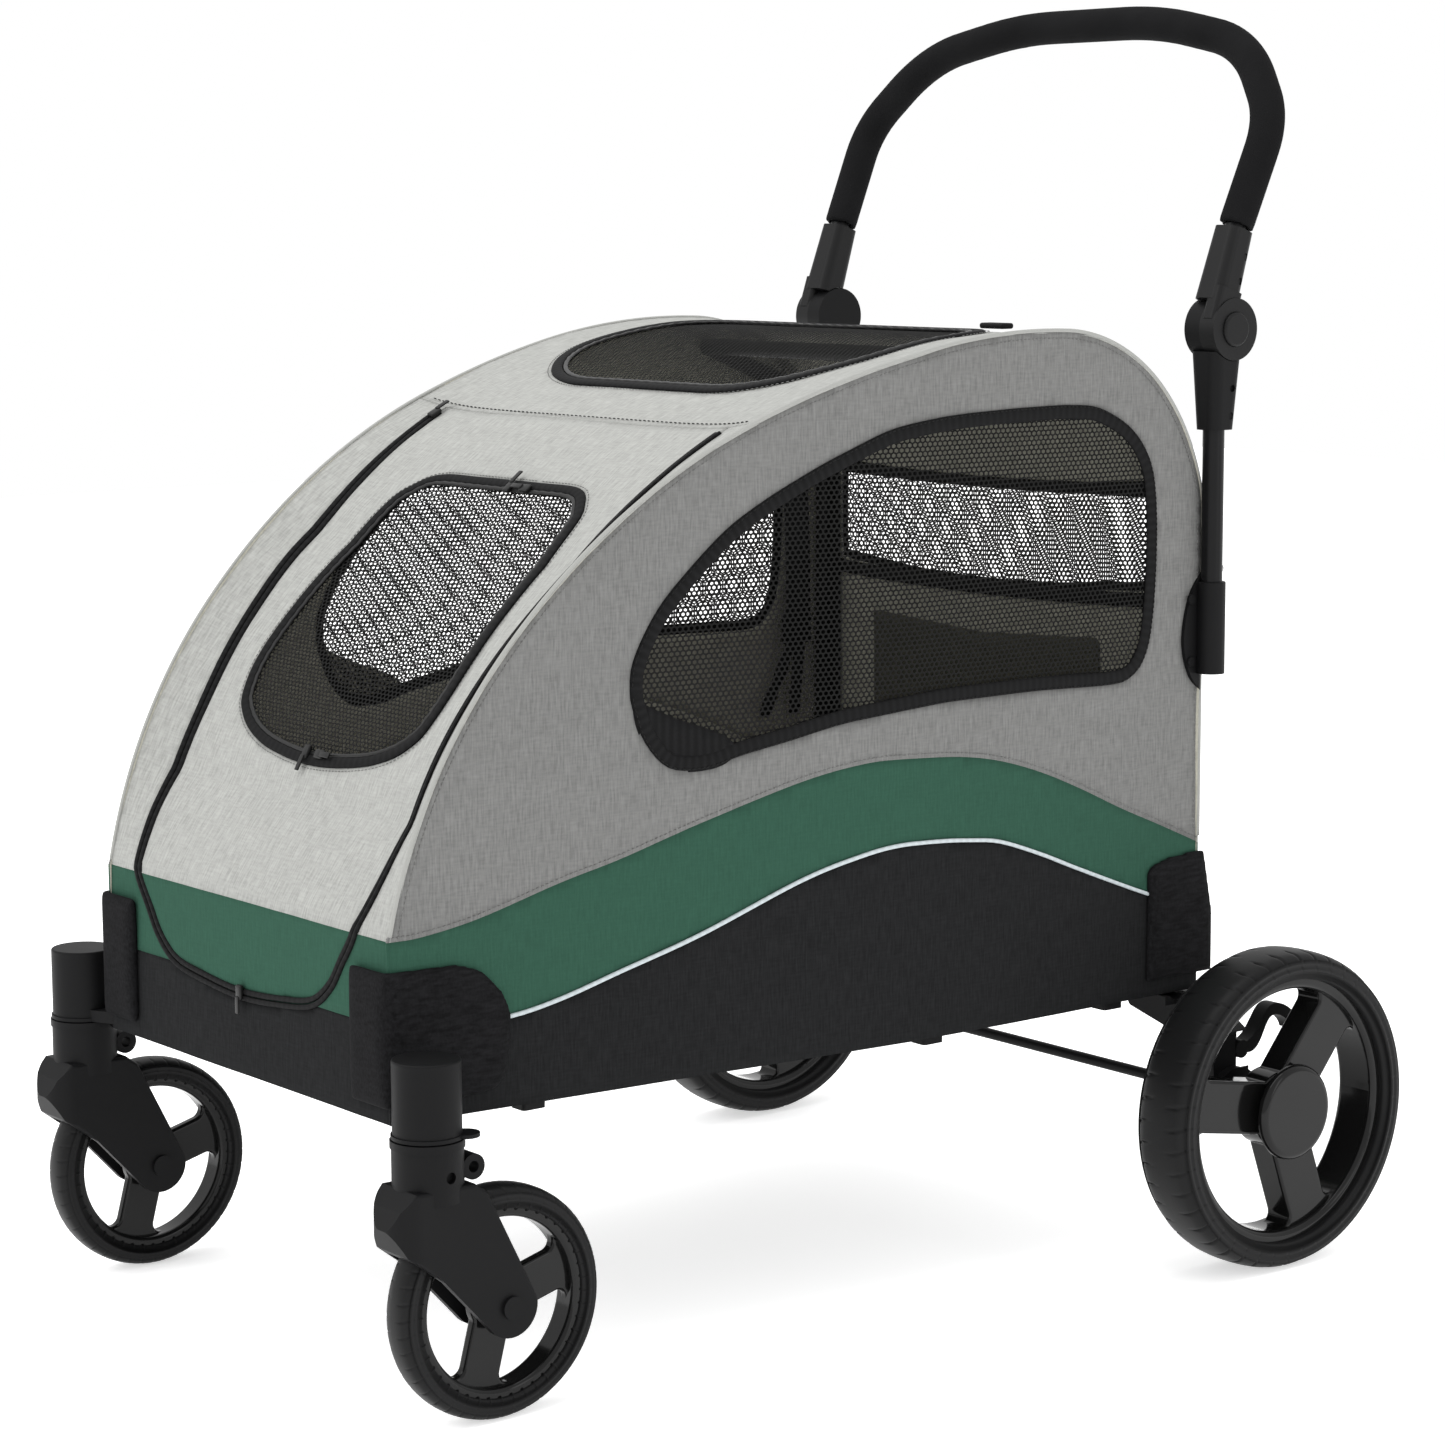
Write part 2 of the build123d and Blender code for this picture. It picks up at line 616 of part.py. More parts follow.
def make_casters():
    """Post sockets on the frame, swivelling forks and the small front wheels."""
    axle_y = POST_Y + TRAIL
    for name, side in SIDES.items():
        x = side * POST_X
        with BuildPart() as post:
            with BuildSketch(Plane.XY.offset(POST_BOTTOM)):
                with Locations((x, POST_Y)):
                    Circle(POST_R)
            extrude(amount=POST_TOP - POST_BOTTOM)
            fillet(post.edges().group_by(Axis.Z)[-1], 1.6)
            with BuildSketch(Plane.XY.offset(POST_BOTTOM)):
                with Locations((x, POST_Y)):
                    Circle(POST_R + 1.2)
            extrude(amount=3)
            with BuildSketch(Plane.XY.offset(POST_BOTTOM)):
                with BuildLine():
                    Polyline((x, -480), (side * 219, -456.5), (side * 200, -456.5), (side * 200, -418),
                             (side * 240, -418), (x, -436), close=True)
                make_face()
            extrude(amount=10)
            with Locations((side * 283, -436, POST_BOTTOM + 1.5)):
                Cylinder(11, 3)
            with Locations(Location((side * 217, -445, 231), (0, 90, 0))):
                Cylinder(9.05, 38.2, mode=Mode.SUBTRACT)
            with Locations((x, POST_Y, POST_BOTTOM + 22)):
                Cylinder(STEM_R + RUN_GAP, 50, mode=Mode.SUBTRACT)
        save(post.part, f"caster_post_{name}")

        with BuildPart() as fork:
            with BuildSketch(Plane.YZ.offset(x - 25)) as cheek:
                with BuildLine():
                    Polyline((POST_Y - 26, 194), (POST_Y + 27, 194), (POST_Y + 38, 186), (axle_y + 21.6, 102.6),
                             (axle_y - 16.5, CASTER_R - 17.5), (POST_Y - 2, 122), (POST_Y - 33, 146),
                             (POST_Y - 43, 165), (POST_Y - 37, 181), close=True)
                make_face()
                with Locations((axle_y, CASTER_R)):
                    Circle(24)
                bends = [v for v in cheek.vertices() if v.Z > 110]
                fillet(bends, 6)
            extrude(amount=50)
            cheeks = fork.faces().sort_by(Axis.X)
            rims = cheeks[0].outer_wire().edges() + cheeks[-1].outer_wire().edges()
            fillet([edge for edge in rims if edge.center().Z > 112], 3)
            with BuildSketch(Plane.XY.offset(60)):
                with Locations((x, POST_Y + 38)):
                    RectangleRounded(50, 162, 22)
            extrude(amount=140, mode=Mode.INTERSECT)
            with Locations((x, POST_Y, 205)):
                Cylinder(27.5, 46)
            with Locations((x, POST_Y, 226)):
                Cylinder(28.6, 6)
            with Locations(Location((x, POST_Y + 33, 204), (0, 90, 0))):
                Cylinder(10, 26)
                Cylinder(4.5, 27, mode=Mode.SUBTRACT)
            with Locations(Location((x + side * 26, POST_Y + 3, 203), (0, 90, 0))):
                Cylinder(4.5, 8, mode=Mode.SUBTRACT)
            with Locations(Location((x, axle_y, CASTER_R), (0, 90, 0))):
                Cylinder(CASTER_R + 5, CASTER_W + 5, mode=Mode.SUBTRACT)
                Cylinder(CASTER_AXLE_R, 56)
            for end in (1, -1):
                with Locations(Location((x + end * 26.5, axle_y, CASTER_R), (0, 90, 0))):
                    Cylinder(9, 3)
            with Locations((x, POST_Y, 235)):
                Cylinder(STEM_R, 70)
        save(fork.part, f"caster_fork_{name}")

        plane = Plane(origin=(x, axle_y, CASTER_R), x_dir=(0, 1, 0), z_dir=(1, 0, 0))
        save(wheel_ring(CASTER_R, CASTER_W, 74, 10, plane), f"front_tyre_{name}")
        rim = wheel_rim(74, 67, CASTER_W - 3, 24, CASTER_AXLE_R + RUN_GAP, 34, 15, plane)
        save(rim, f"front_rim_{name}")


# ---------------------------------------------------------------- rear end
def make_rear():
    """Rear legs, axle, brakes and the large wheels with their hub caps."""
    with BuildPart() as rear_axle:
        with Locations(Location((0, REAR_AXLE_Y, REAR_WHEEL_R), (0, 90, 0))):
            Cylinder(REAR_AXLE_R, 2 * (REAR_WHEEL_X + 24))
    save(rear_axle.part, "rear_axle")

    for name, side in SIDES.items():
        with BuildPart() as leg:
            with BuildSketch(Plane.XZ.offset(-REAR_AXLE_Y)):
                with BuildLine():
                    Polyline((side * 200, 222), (side * 262, 222), (side * 306, 196), (side * 310, 112),
                             (side * 284, 108), (side * 262, 150), (side * 246, 196), (side * 200, 208),
                             close=True)
                make_face()
            extrude(amount=22, both=True)
            fillet(leg.edges().filter_by(Axis.Y), 5)
            with Locations(Location((side * 288, REAR_AXLE_Y, REAR_WHEEL_R), (0, 90, 0))):
                Cylinder(27, 56)
            with Locations(Location((side * 233, REAR_AXLE_Y - 20, 222), (0, 0, 0))):
                Box(54, 30, 8)
            with Locations(Location((side * 235, 340, 231), (0, 90, 0))):
                Cylinder(9.05, 500, mode=Mode.SUBTRACT)
            with Locations(Location((0, REAR_AXLE_Y, REAR_WHEEL_R), (0, 90, 0))):
                Cylinder(REAR_AXLE_R + 0.02, 900, mode=Mode.SUBTRACT)
            with Locations((side * 300, REAR_AXLE_Y + 26, 176)):
                Box(15, 40, 40, mode=Mode.SUBTRACT)
        save(leg.part, f"rear_leg_{name}")

        with BuildPart() as pedal:
            with BuildSketch(Plane.YZ.offset(side * 300 - 7)):
                with BuildLine():
                    top = Spline((380, 186), (397, 199), (412, 215), (431, 212), (447, 195))
                    Line(top @ 1, (438, 190))
                    low = Spline((438, 190), (426, 203), (414, 205), (402, 190), (384, 176))
                    Line(low @ 1, top @ 0)
                make_face()
            extrude(amount=14)
            with Locations(Location((side * 300, 376, 180), (0, 90, 0))):
                Cylinder(8, 14)
        save(pedal.part, f"brake_pedal_{name}")

        plane = Plane(origin=(side * REAR_WHEEL_X, REAR_AXLE_Y, REAR_WHEEL_R), x_dir=(0, 1, 0),
                      z_dir=(1, 0, 0))
        save(wheel_ring(REAR_WHEEL_R, REAR_WHEEL_W, 116, 20, plane), f"rear_tyre_{name}")
        rim = wheel_rim(116, 107, REAR_WHEEL_W - 12, 34, REAR_AXLE_R + RUN_GAP, 46, 50, plane)
        save(rim, f"rear_rim_{name}")

        with BuildPart() as hub_cap:
            with BuildSketch(plane.offset(side * 24.4)):
                Circle(42)
            extrude(amount=side * CAP_RISE)
            fillet(hub_cap.faces().sort_by(Axis.X)[-1 if side > 0 else 0].edges(), CAP_RISE - 1)
        save(hub_cap.part, f"hub_cap_{name}")


def make_fittings():
    """Roof buckle, rear pocket and the tether strap inside the cabin."""
    with BuildPart() as roof_buckle:
        with Locations((168, 204, 817.7)):
            Box(30, 14, 5)
        fillet(roof_buckle.edges().filter_by(Axis.Z), 5)
    save(roof_buckle.part, "roof_buckle")

    with BuildPart() as rear_pocket:
        with Locations((0, 362, 460)):
            Box(310, 6, 150)
        fillet(rear_pocket.edges().filter_by(Axis.Y), 18)
    save(rear_pocket.part, "rear_pocket")

    with BuildPart() as tether:
        with Locations((-240, 312, 591)):
            Box(2, 30, 186)
        with Locations((-238.5, 312, 510)):
            Box(7, 30, 26)
        for y, turn in ((286, 32), (311, 2)):
            with Locations(Location((-240, y, 462), (-turn, 0, 0))):
                Box(2, 12, 92)
    save(tether.part, "tether_strap")


make_cabin_cloth()
make_door()
make_corner_pads()
make_base()
make_hoops()
make_handle()
make_casters()
make_rear()
make_fittings()
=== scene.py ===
"""Looks of the pet stroller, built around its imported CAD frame. Metres, +Z up, the front faces -Y."""
import math

import bmesh
import bpy
import numpy as np
from mathutils import Matrix, Vector, noise
from mathutils.geometry import delaunay_2d_cdt


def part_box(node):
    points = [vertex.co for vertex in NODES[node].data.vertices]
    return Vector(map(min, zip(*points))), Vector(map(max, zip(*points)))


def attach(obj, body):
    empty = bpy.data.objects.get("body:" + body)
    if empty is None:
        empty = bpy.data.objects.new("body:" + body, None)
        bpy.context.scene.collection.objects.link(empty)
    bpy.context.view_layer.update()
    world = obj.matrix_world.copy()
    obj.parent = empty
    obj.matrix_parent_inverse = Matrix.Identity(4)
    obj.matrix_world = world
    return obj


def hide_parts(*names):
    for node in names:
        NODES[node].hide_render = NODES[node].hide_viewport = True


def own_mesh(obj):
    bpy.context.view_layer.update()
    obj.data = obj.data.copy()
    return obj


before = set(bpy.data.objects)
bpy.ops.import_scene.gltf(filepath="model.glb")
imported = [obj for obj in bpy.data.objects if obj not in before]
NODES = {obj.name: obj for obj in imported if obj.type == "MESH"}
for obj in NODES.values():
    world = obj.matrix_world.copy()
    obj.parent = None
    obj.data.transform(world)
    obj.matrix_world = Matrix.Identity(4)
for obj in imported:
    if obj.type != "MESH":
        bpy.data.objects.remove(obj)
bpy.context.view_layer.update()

# ---- measures of the cabin
SIDE_LOW, SIDE_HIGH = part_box("side_panel_left")
FRONT, BACK, BOTTOM = SIDE_LOW.y, SIDE_HIGH.y, SIDE_LOW.z
REAR_HALF = SIDE_HIGH.x
FRONT_HALF = max(v.co.x for v in NODES["side_panel_left"].data.vertices if v.co.y < FRONT + 0.003)
TAPER_END = 0.04                           # the cabin widens from its front to here
FRONT_BEND, BACK_BEND = 0.371, 0.664       # heights at which the straight front and back start to curve
FRONT_LEAN = 0.002
CLOTH = 0.0022                             # thickness of the cabin cloth
STEP = 0.009                               # distance between the points of a cloth panel
ZIP_GAP = 0.0012
SLOPE_REACH = 0.004
SEAM = (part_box("roof_panel")[0].y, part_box("front_surround")[1].z)
RIDGE = (0.210, SIDE_HIGH.z)
GREEN_TOP, GREEN_LOW = 0.370, 0.303        # edges of the green band on the front and the back
SIDES = (("left", 1), ("right", -1))
TINY = 1e-12


def half_width(y):
    """Half width of the cabin at y."""
    share = np.clip((np.asarray(y, float) - FRONT) / (TAPER_END - FRONT), 0, 1)
    return FRONT_HALF + (REAR_HALF - FRONT_HALF) * share


def lengths(line):
    """Distance along a line at each of its points."""
    return np.concatenate([[0], np.cumsum(np.linalg.norm(np.diff(line, axis=0), axis=1))])


def tangent_arc(start, tangent, end, count):
    """Points of the arc that leaves start along tangent and reaches end, and its end tangent."""
    start, end = np.array(start, float), np.array(end, float)
    tangent = np.array(tangent, float) / np.linalg.norm(tangent)
    left = np.array([-tangent[1], tangent[0]])
    chord = end - start
    bend = 2 * chord.dot(left) / chord.dot(chord)
    centre = start + left / bend
    turn_0 = math.atan2(start[1] - centre[1], start[0] - centre[0])
    turn_1 = math.atan2(end[1] - centre[1], end[0] - centre[0])
    if bend < 0 and turn_1 > turn_0:
        turn_1 -= 2 * math.pi
    if bend > 0 and turn_1 < turn_0:
        turn_1 += 2 * math.pi
    turns = np.linspace(turn_0, turn_1, count)
    points = centre + abs(1 / bend) * np.stack([np.cos(turns), np.sin(turns)], 1)
    leave = np.array([-math.sin(turn_1), math.cos(turn_1)]) * math.copysign(1, bend)
    return points, leave


def cabin_profile():
    """Side profile of the cabin as a dense line of (y, z): up the front, over the roof, down the back."""
    line = [np.array([[FRONT, z] for z in np.linspace(BOTTOM, FRONT_BEND, 30)])]
    line[0][:, 0] += FRONT_LEAN * (line[0][:, 1] - BOTTOM) / (FRONT_BEND - BOTTOM)
    for knots, tangent in (([(-0.355, 0.583), SEAM, (0.054, 0.804), RIDGE], (0.2, 1)),
                           ([(0.323, 0.759), (BACK, BACK_BEND)], (1, -0.08))):
        for knot in knots:
            points, tangent = tangent_arc(line[-1][-1], tangent, knot, 60)
            line.append(points[1:])
    line.append(np.array([[BACK, z] for z in np.linspace(BACK_BEND, BOTTOM, 60)])[1:])
    return np.concatenate(line)


PROFILE = cabin_profile()
ALONG = lengths(PROFILE)
TOP_INDEX = int(np.argmin(np.abs(PROFILE[:, 0] - RIDGE[0]) + np.abs(PROFILE[:, 1] - RIDGE[1])))


def front_at(z):
    """Distance along the profile where its front reaches height z."""
    return np.interp(z, PROFILE[:TOP_INDEX, 1], ALONG[:TOP_INDEX])


def back_at(z):
    """Distance along the profile where its back comes down to height z."""
    return np.interp(-z, -PROFILE[TOP_INDEX:, 1], ALONG[TOP_INDEX:])


def roof_at(y):
    """Distance along the profile where the roof reaches y."""
    return np.interp(y, PROFILE[:TOP_INDEX + 80, 0], ALONG[:TOP_INDEX + 80])


def profile_at(s):
    """Point (y, z) of the profile at a distance along it."""
    return np.interp(s, ALONG, PROFILE[:, 0]), np.interp(s, ALONG, PROFILE[:, 1])


S_SEAM = roof_at(SEAM[0])
S_RIDGE = ALONG[TOP_INDEX]
S_END = ALONG[-1]
# how deep the cloth sags half-way between its sides, at distances along the profile
SAG_S = [0, front_at(0.375), front_at(0.46), front_at(0.66), S_SEAM, S_SEAM + 0.12, S_RIDGE, back_at(0.76),
         back_at(0.70), back_at(0.42), back_at(0.30), S_END]
SAG_D = [0, 0, 0.030, 0.032, 0.011, 0.006, 0.003, 0.010, 0.024, 0.024, 0, 0]


def band_place(x, s, lift=0.0):
    """Point of the cloth that runs over the front, roof and back, lift above it. It sags between its sides."""
    y, z = profile_at(s)
    (y_0, z_0), (y_1, z_1) = profile_at(s - SLOPE_REACH), profile_at(s + SLOPE_REACH)
    dy, dz = y_1 - y_0, z_1 - z_0
    size = np.hypot(dy, dz)
    share = np.clip(np.abs(x) / half_width(y), 0, 1)
    move = lift - np.interp(s, SAG_S, SAG_D) * (1 - share ** 6)
    return np.stack([x * np.ones_like(y), y - move * dz / size, z + move * dy / size], -1)


def side_place(side):
    """Placer for the left (+1) or right (-1) side: takes (y, z) and gives the point on the side cloth."""
    def place(y, z, lift=0.0):
        y = np.asarray(y, float)
        return np.stack([side * (half_width(y) + lift), y, np.asarray(z, float)], -1)
    return place


# ---- drawing helpers
def smooth_line(points, closed, count):
    """Catmull-Rom line through the points, evenly spaced."""
    points = np.array(points, float)
    size = len(points)
    if closed:
        take = [points[(i + k) % size] for i in range(size) for k in (-1, 0, 1, 2)]
    else:
        padded = np.concatenate([[2 * points[0] - points[1]], points, [2 * points[-1] - points[-2]]])
        take = [padded[i + k] for i in range(size - 1) for k in range(4)]
    t = np.linspace(0, 1, 24, endpoint=False)[:, None]
    out = []
    for i in range(0, len(take), 4):
        a, b, c, d = take[i:i + 4]
        out.append(0.5 * (2 * b + (c - a) * t + (2 * a - 5 * b + 4 * c - d) * t ** 2
                          + (3 * b - a - 3 * c + d) * t ** 3))
    line = np.concatenate(out + [points[:1] if closed else points[-1:]])
    return even_line(line, count)


def even_line(line, count):
    """The same line with count evenly spaced points."""
    run = lengths(line)
    want = np.linspace(0, run[-1], count)
    return np.stack([np.interp(want, run, line[:, k]) for k in range(line.shape[1])], 1)


def directions(line, closed):
    """Unit direction of a line at each of its points."""
    ahead = np.roll(line, -1, 0) if closed else np.concatenate([line[1:], line[-1:]])
    behind = np.roll(line, 1, 0) if closed else np.concatenate([line[:1], line[:-1]])
    run = ahead - behind
    return run / (np.linalg.norm(run, axis=1)[:, None] + TINY)


def shift_line(line, amount, closed=True):
    """A flat line moved sideways by amount, outwards for a counter-clockwise loop."""
    run = directions(line, closed)
    return line + amount * np.stack([run[:, 1], -run[:, 0]], 1)


def double_area(loop):
    """Twice the area of a closed flat loop, above zero if it runs counter-clockwise."""
    return np.sum(loop[:, 0] * np.roll(loop[:, 1], -1) - np.roll(loop[:, 0], -1) * loop[:, 1])


def counter_clockwise(line):
    """The closed line, turned so that it runs counter-clockwise and without its repeated last point."""
    if np.allclose(line[0], line[-1]):
        line = line[:-1]
    return line if double_area(line) > 0 else line[::-1]


def inside(loop, points):
    """True for each point inside the closed loop."""
    x, y = points[:, 0], points[:, 1]
    found = np.zeros(len(points), bool)
    last = len(loop) - 1
    for i in range(len(loop)):
        (xi, yi), (xj, yj) = loop[i], loop[last]
        cross = (yi > y) != (yj > y)
        edge = (xj - xi) * (y - yi) / ((yj - yi) if yj != yi else TINY) + xi
        found ^= cross & (x < edge)
        last = i
    return found


def far_from(loop, points, gap):
    """True for each point at least gap away from the loop's own points."""
    keep = np.ones(len(points), bool)
    for start in range(0, len(points), 2000):
        part = points[start:start + 2000]
        away = np.linalg.norm(part[:, None] - loop[None], axis=2).min(1)
        keep[start:start + 2000] = away > gap
    return keep


MADE = []                                  # every piece so far, in order


def linked(name, data):
    """A new object in the scene."""
    piece = bpy.data.objects.new(name, data)
    bpy.context.scene.collection.objects.link(piece)
    MADE.append(piece)
    return piece


def shade_smooth(mesh):
    """Shade every face of the mesh smooth."""
    mesh.polygons.foreach_set("use_smooth", [True] * len(mesh.polygons))


def new_piece(name, verts, faces, look, body="chassis", uv=None):
    """A mesh piece that rides on a body. uv holds one pair for each vertex."""
    mesh = bpy.data.meshes.new(name)
    mesh.from_pydata([tuple(v) for v in verts], [], [tuple(f) for f in faces])
    mesh.update()
    if uv is not None:
        layer = mesh.uv_layers.new(name="cloth")
        corners = np.zeros(len(mesh.loops), np.int32)
        mesh.loops.foreach_get("vertex_index", corners)
        layer.data.foreach_set("uv", np.asarray(uv, np.float32)[corners].ravel())
    shade_smooth(mesh)
    mesh.materials.append(M[look])
    piece = linked(name, mesh)
    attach(piece, body)
    return piece


def skin(rings, size, closed):
    """Faces between rings of points, and of the two flat ends if the rings don't close."""
    faces = [(i * size + k, i * size + (k + 1) % size, (i + 1) % rings * size + (k + 1) % size,
              (i + 1) % rings * size + k) for i in range(rings if closed else rings - 1) for k in range(size)]
    if not closed:
        faces += [tuple(reversed(range(size))), tuple((rings - 1) * size + k for k in range(size))]
    return faces


def settle(piece):
    """Apply the piece's modifiers to its mesh."""
    graph = bpy.context.evaluated_depsgraph_get()
    mesh = bpy.data.meshes.new_from_object(piece.evaluated_get(graph))
    piece.modifiers.clear()
    piece.data = mesh
    return piece


def thicken(piece, thickness, inner):
    """Give a sheet its thickness inwards, with another material inside."""
    piece.data.materials.append(M[inner])
    solid = piece.modifiers.new("thickness", "SOLIDIFY")
    solid.thickness = thickness
    solid.offset = -1
    solid.use_even_offset = False
    solid.material_offset = 1
    return settle(piece)


def ripple(points, amount, scale, seed):
    """Smooth cloth unevenness for each point, from -amount to amount."""
    shift = Vector((seed * 3.1, seed * 7.7, seed * 1.3))
    return np.array([noise.noise(Vector(p) * scale + shift) for p in points]) * amount


def cloth_sheet(name, outline, holes, place, look, inner="lining", step=STEP, body="chassis", wrinkle=0.0012,
                thickness=CLOTH, seed=1, flip=False):
    """A cloth panel: a flat outline with holes, filled with even points and laid on a surface by place."""
    loops = [counter_clockwise(np.array(outline))] + [counter_clockwise(np.array(h)) for h in holes]
    low, high = loops[0].min(0), loops[0].max(0)
    grid_u, grid_v = np.meshgrid(np.arange(low[0], high[0], step), np.arange(low[1], high[1], step))
    grid_u[::2] += step / 2
    fill = np.stack([grid_u.ravel(), grid_v.ravel()], 1)
    fill = fill[inside(loops[0], fill)]
    for loop in loops:
        fill = fill[far_from(loop, fill, step * 0.55)]
    for hole in loops[1:]:
        fill = fill[~inside(hole, fill)]
    verts, edges = [], []
    for loop in loops:
        first = len(verts)
        verts += [tuple(p) for p in loop]
        edges += [(first + i, first + (i + 1) % len(loop)) for i in range(len(loop))]
    verts += [tuple(p) for p in fill]
    flat, _, faces, _, _, _ = delaunay_2d_cdt([Vector(v) for v in verts], edges, [], 0, 1e-6)
    flat = np.array([tuple(v) for v in flat])
    faces = np.array([tuple(f) for f in faces])
    middle = flat[faces].mean(1)
    keep = inside(loops[0], middle)
    for hole in loops[1:]:
        keep &= ~inside(hole, middle)
    faces = faces[keep]
    if flip:
        faces = faces[:, ::-1]
    base = place(flat[:, 0], flat[:, 1])
    lift = ripple(base, wrinkle, 7, seed) + ripple(base, wrinkle * 0.35, 26, seed + 5)
    verts = place(flat[:, 0], flat[:, 1], lift)
    piece = new_piece(name, verts, faces, look, body, flat)
    return thicken(piece, thickness, inner)


NET_PITCH = 0.0054                         # from hole to hole
NET_SQUAT = 0.83                           # height of a hole to its width
NET_STRAND = 0.33                          # share of a cell that its strands take
NET_LIFT = -0.0012


def net_sheet(name, outline, place, body="chassis"):
    """Window mesh: a net of six-sided holes, clipped to an outline and laid on a surface."""
    loop = counter_clockwise(np.array(outline) / [1, NET_SQUAT])
    low, high = loop.min(0), loop.max(0)
    rise = NET_PITCH * math.sqrt(3) / 2
    rows = int((high[1] - low[1]) / rise) + 2
    columns = int((high[0] - low[0]) / NET_PITCH) + 2
    centres = np.array([(low[0] + (c + 0.5 * (r % 2)) * NET_PITCH, low[1] + r * rise)
                        for r in range(rows) for c in range(columns)])
    centres = centres[inside(loop, centres)]
    reach = NET_PITCH / math.sqrt(3)
    index, verts, lifts, faces = {}, [], [], []
    for centre in centres:
        outer, inner = [], []
        for k in range(6):
            turn = math.pi / 6 + k * math.pi / 3
            point = centre + reach * np.array([math.cos(turn), math.sin(turn)])
            key = (round(point[0] / reach * 4), round(point[1] / reach * 4))
            if key not in index:
                index[key] = len(verts)
                verts.append(point)
                lifts.append(NET_LIFT + 0.0003)
            outer.append(index[key])
            inner.append(len(verts))
            verts.append(centre + (point - centre) * (1 - NET_STRAND))
            lifts.append(NET_LIFT)
        faces += [(outer[k], outer[(k + 1) % 6], inner[(k + 1) % 6], inner[k]) for k in range(6)]
    flat = np.array(verts) * [1, NET_SQUAT]
    return new_piece(name, place(flat[:, 0], flat[:, 1], np.array(lifts)), faces, "net", body, flat)


# across a strip: place in its width, and height there (None is its underside)
STRIP_SECTION = ((-0.5, 0), (-0.46, 0.6), (-0.3, 0.95), (0, 1), (0.3, 0.95), (0.46, 0.6), (0.5, 0), (0, None))
STRIP_SINK = 0.0006
TOOTH = 0.0005


def strip(name, line, place, width, height, look, body="chassis", closed=True, teeth=False):
    """A flat band with a rounded top that follows a flat line laid on a surface: binding, tape or piping."""
    line = counter_clockwise(np.array(line)) if closed else np.array(line)
    count = len(line)
    rings = []
    for offset, share in STRIP_SECTION:
        moved = shift_line(line, offset * width, closed)
        amount = np.full(count, -STRIP_SINK if share is None else share * height)
        if teeth and share is not None and share > 0.5:
            amount = amount + TOOTH * (np.arange(count) % 2)
        rings.append(place(moved[:, 0], moved[:, 1], amount))
    size = len(rings)
    uv = np.stack([np.repeat(lengths(line), size), np.tile(np.arange(size) * width / size, count)], 1)
    return outwards(new_piece(name, np.stack(rings, 1).reshape(-1, 3), skin(count, size, closed), look, body, uv))


def outwards(piece):
    """Point all face normals outwards."""
    shape = bmesh.new()
    shape.from_mesh(piece.data)
    bmesh.ops.recalc_face_normals(shape, faces=shape.faces)
    shape.to_mesh(piece.data)
    shape.free()
    return piece


def stitches(name, line, place, look, body="chassis", pitch=0.0045, length=0.003, radius=0.0004, lift=0.0006):
    """A row of sewn stitches along a flat line on a surface."""
    run = np.linalg.norm(np.diff(line, axis=0), axis=1).sum()
    count = max(2, int(run / pitch))
    middle = even_line(line, count + 1)
    verts, faces = [], []
    for a, b in zip(middle[:-1], middle[1:]):
        along = (b - a) / (np.linalg.norm(b - a) + TINY)
        aside = np.array([along[1], -along[0]])
        ring = []
        for share, wide, high in ((-0.5, 0.4, 0), (-0.25, 1, 1), (0.25, 1, 1), (0.5, 0.4, 0)):
            centre = a + along * share * length
            left, right = centre + aside * radius * wide, centre - aside * radius * wide
            ring += [place(*left, lift), place(*right, lift), place(*centre, lift + radius * (0.5 + high))]
        faces += [tuple(len(verts) + v for v in face) for face in skin(4, 3, False)]
        verts += ring
    return outwards(new_piece(name, verts, faces, look, body))


CORD_SIDES = 10


def cord(name, points, radius, look):
    """A round cord along points in space, with flat ends."""
    run = directions(points, False)
    side = np.cross(run[0], [0.3, 0.2, 0.93])
    verts = []
    for point, along in zip(points, run):
        side = side - along * side.dot(along)
        side /= np.linalg.norm(side) + TINY
        other = np.cross(along, side)
        for k in range(CORD_SIDES):
            turn = 2 * math.pi * k / CORD_SIDES
            verts.append(point + radius * (math.cos(turn) * side + math.sin(turn) * other))
    return outwards(new_piece(name, verts, skin(len(points), CORD_SIDES, False), look))


def rounded_block(name, centre, size, bevel, look, body="chassis", turn=None):
    """A moulded block with rounded edges."""
    shape = bmesh.new()
    bmesh.ops.create_cube(shape, size=1)
    bmesh.ops.scale(shape, vec=size, verts=shape.verts)
    bmesh.ops.bevel(shape, geom=shape.edges[:], offset=bevel, segments=3, affect="EDGES", profile=0.5)
    if turn is not None:
        bmesh.ops.rotate(shape, matrix=turn, verts=shape.verts)
    bmesh.ops.translate(shape, vec=centre, verts=shape.verts)
    mesh = bpy.data.meshes.new(name)
    shape.to_mesh(mesh)
    shape.free()
    shade_smooth(mesh)
    mesh.materials.append(M[look])
    piece = linked(name, mesh)
    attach(piece, body)
    return piece


# ---- materials
def wire(tree, node, inputs):
    """Set a node's inputs: a socket is linked, anything else is the input's value."""
    for slot, value in inputs.items():
        if isinstance(value, bpy.types.NodeSocket):
            tree.links.new(value, node.inputs[slot])
        else:
            node.inputs[slot].default_value = value
    return node


def add(tree, kind, inputs):
    """A new node of a kind, with its inputs set."""
    return wire(tree, tree.nodes.new(f"ShaderNode{kind}"), inputs)


def blank(name, roughness, specular=0.5):
    """A new material, its tree and its Principled node."""
    material = bpy.data.materials.new(name)
    material.use_nodes = True
    tree = material.node_tree
    shader = wire(tree, tree.nodes["Principled BSDF"], {"Roughness": roughness, "Specular IOR Level": specular})
    return material, tree, shader


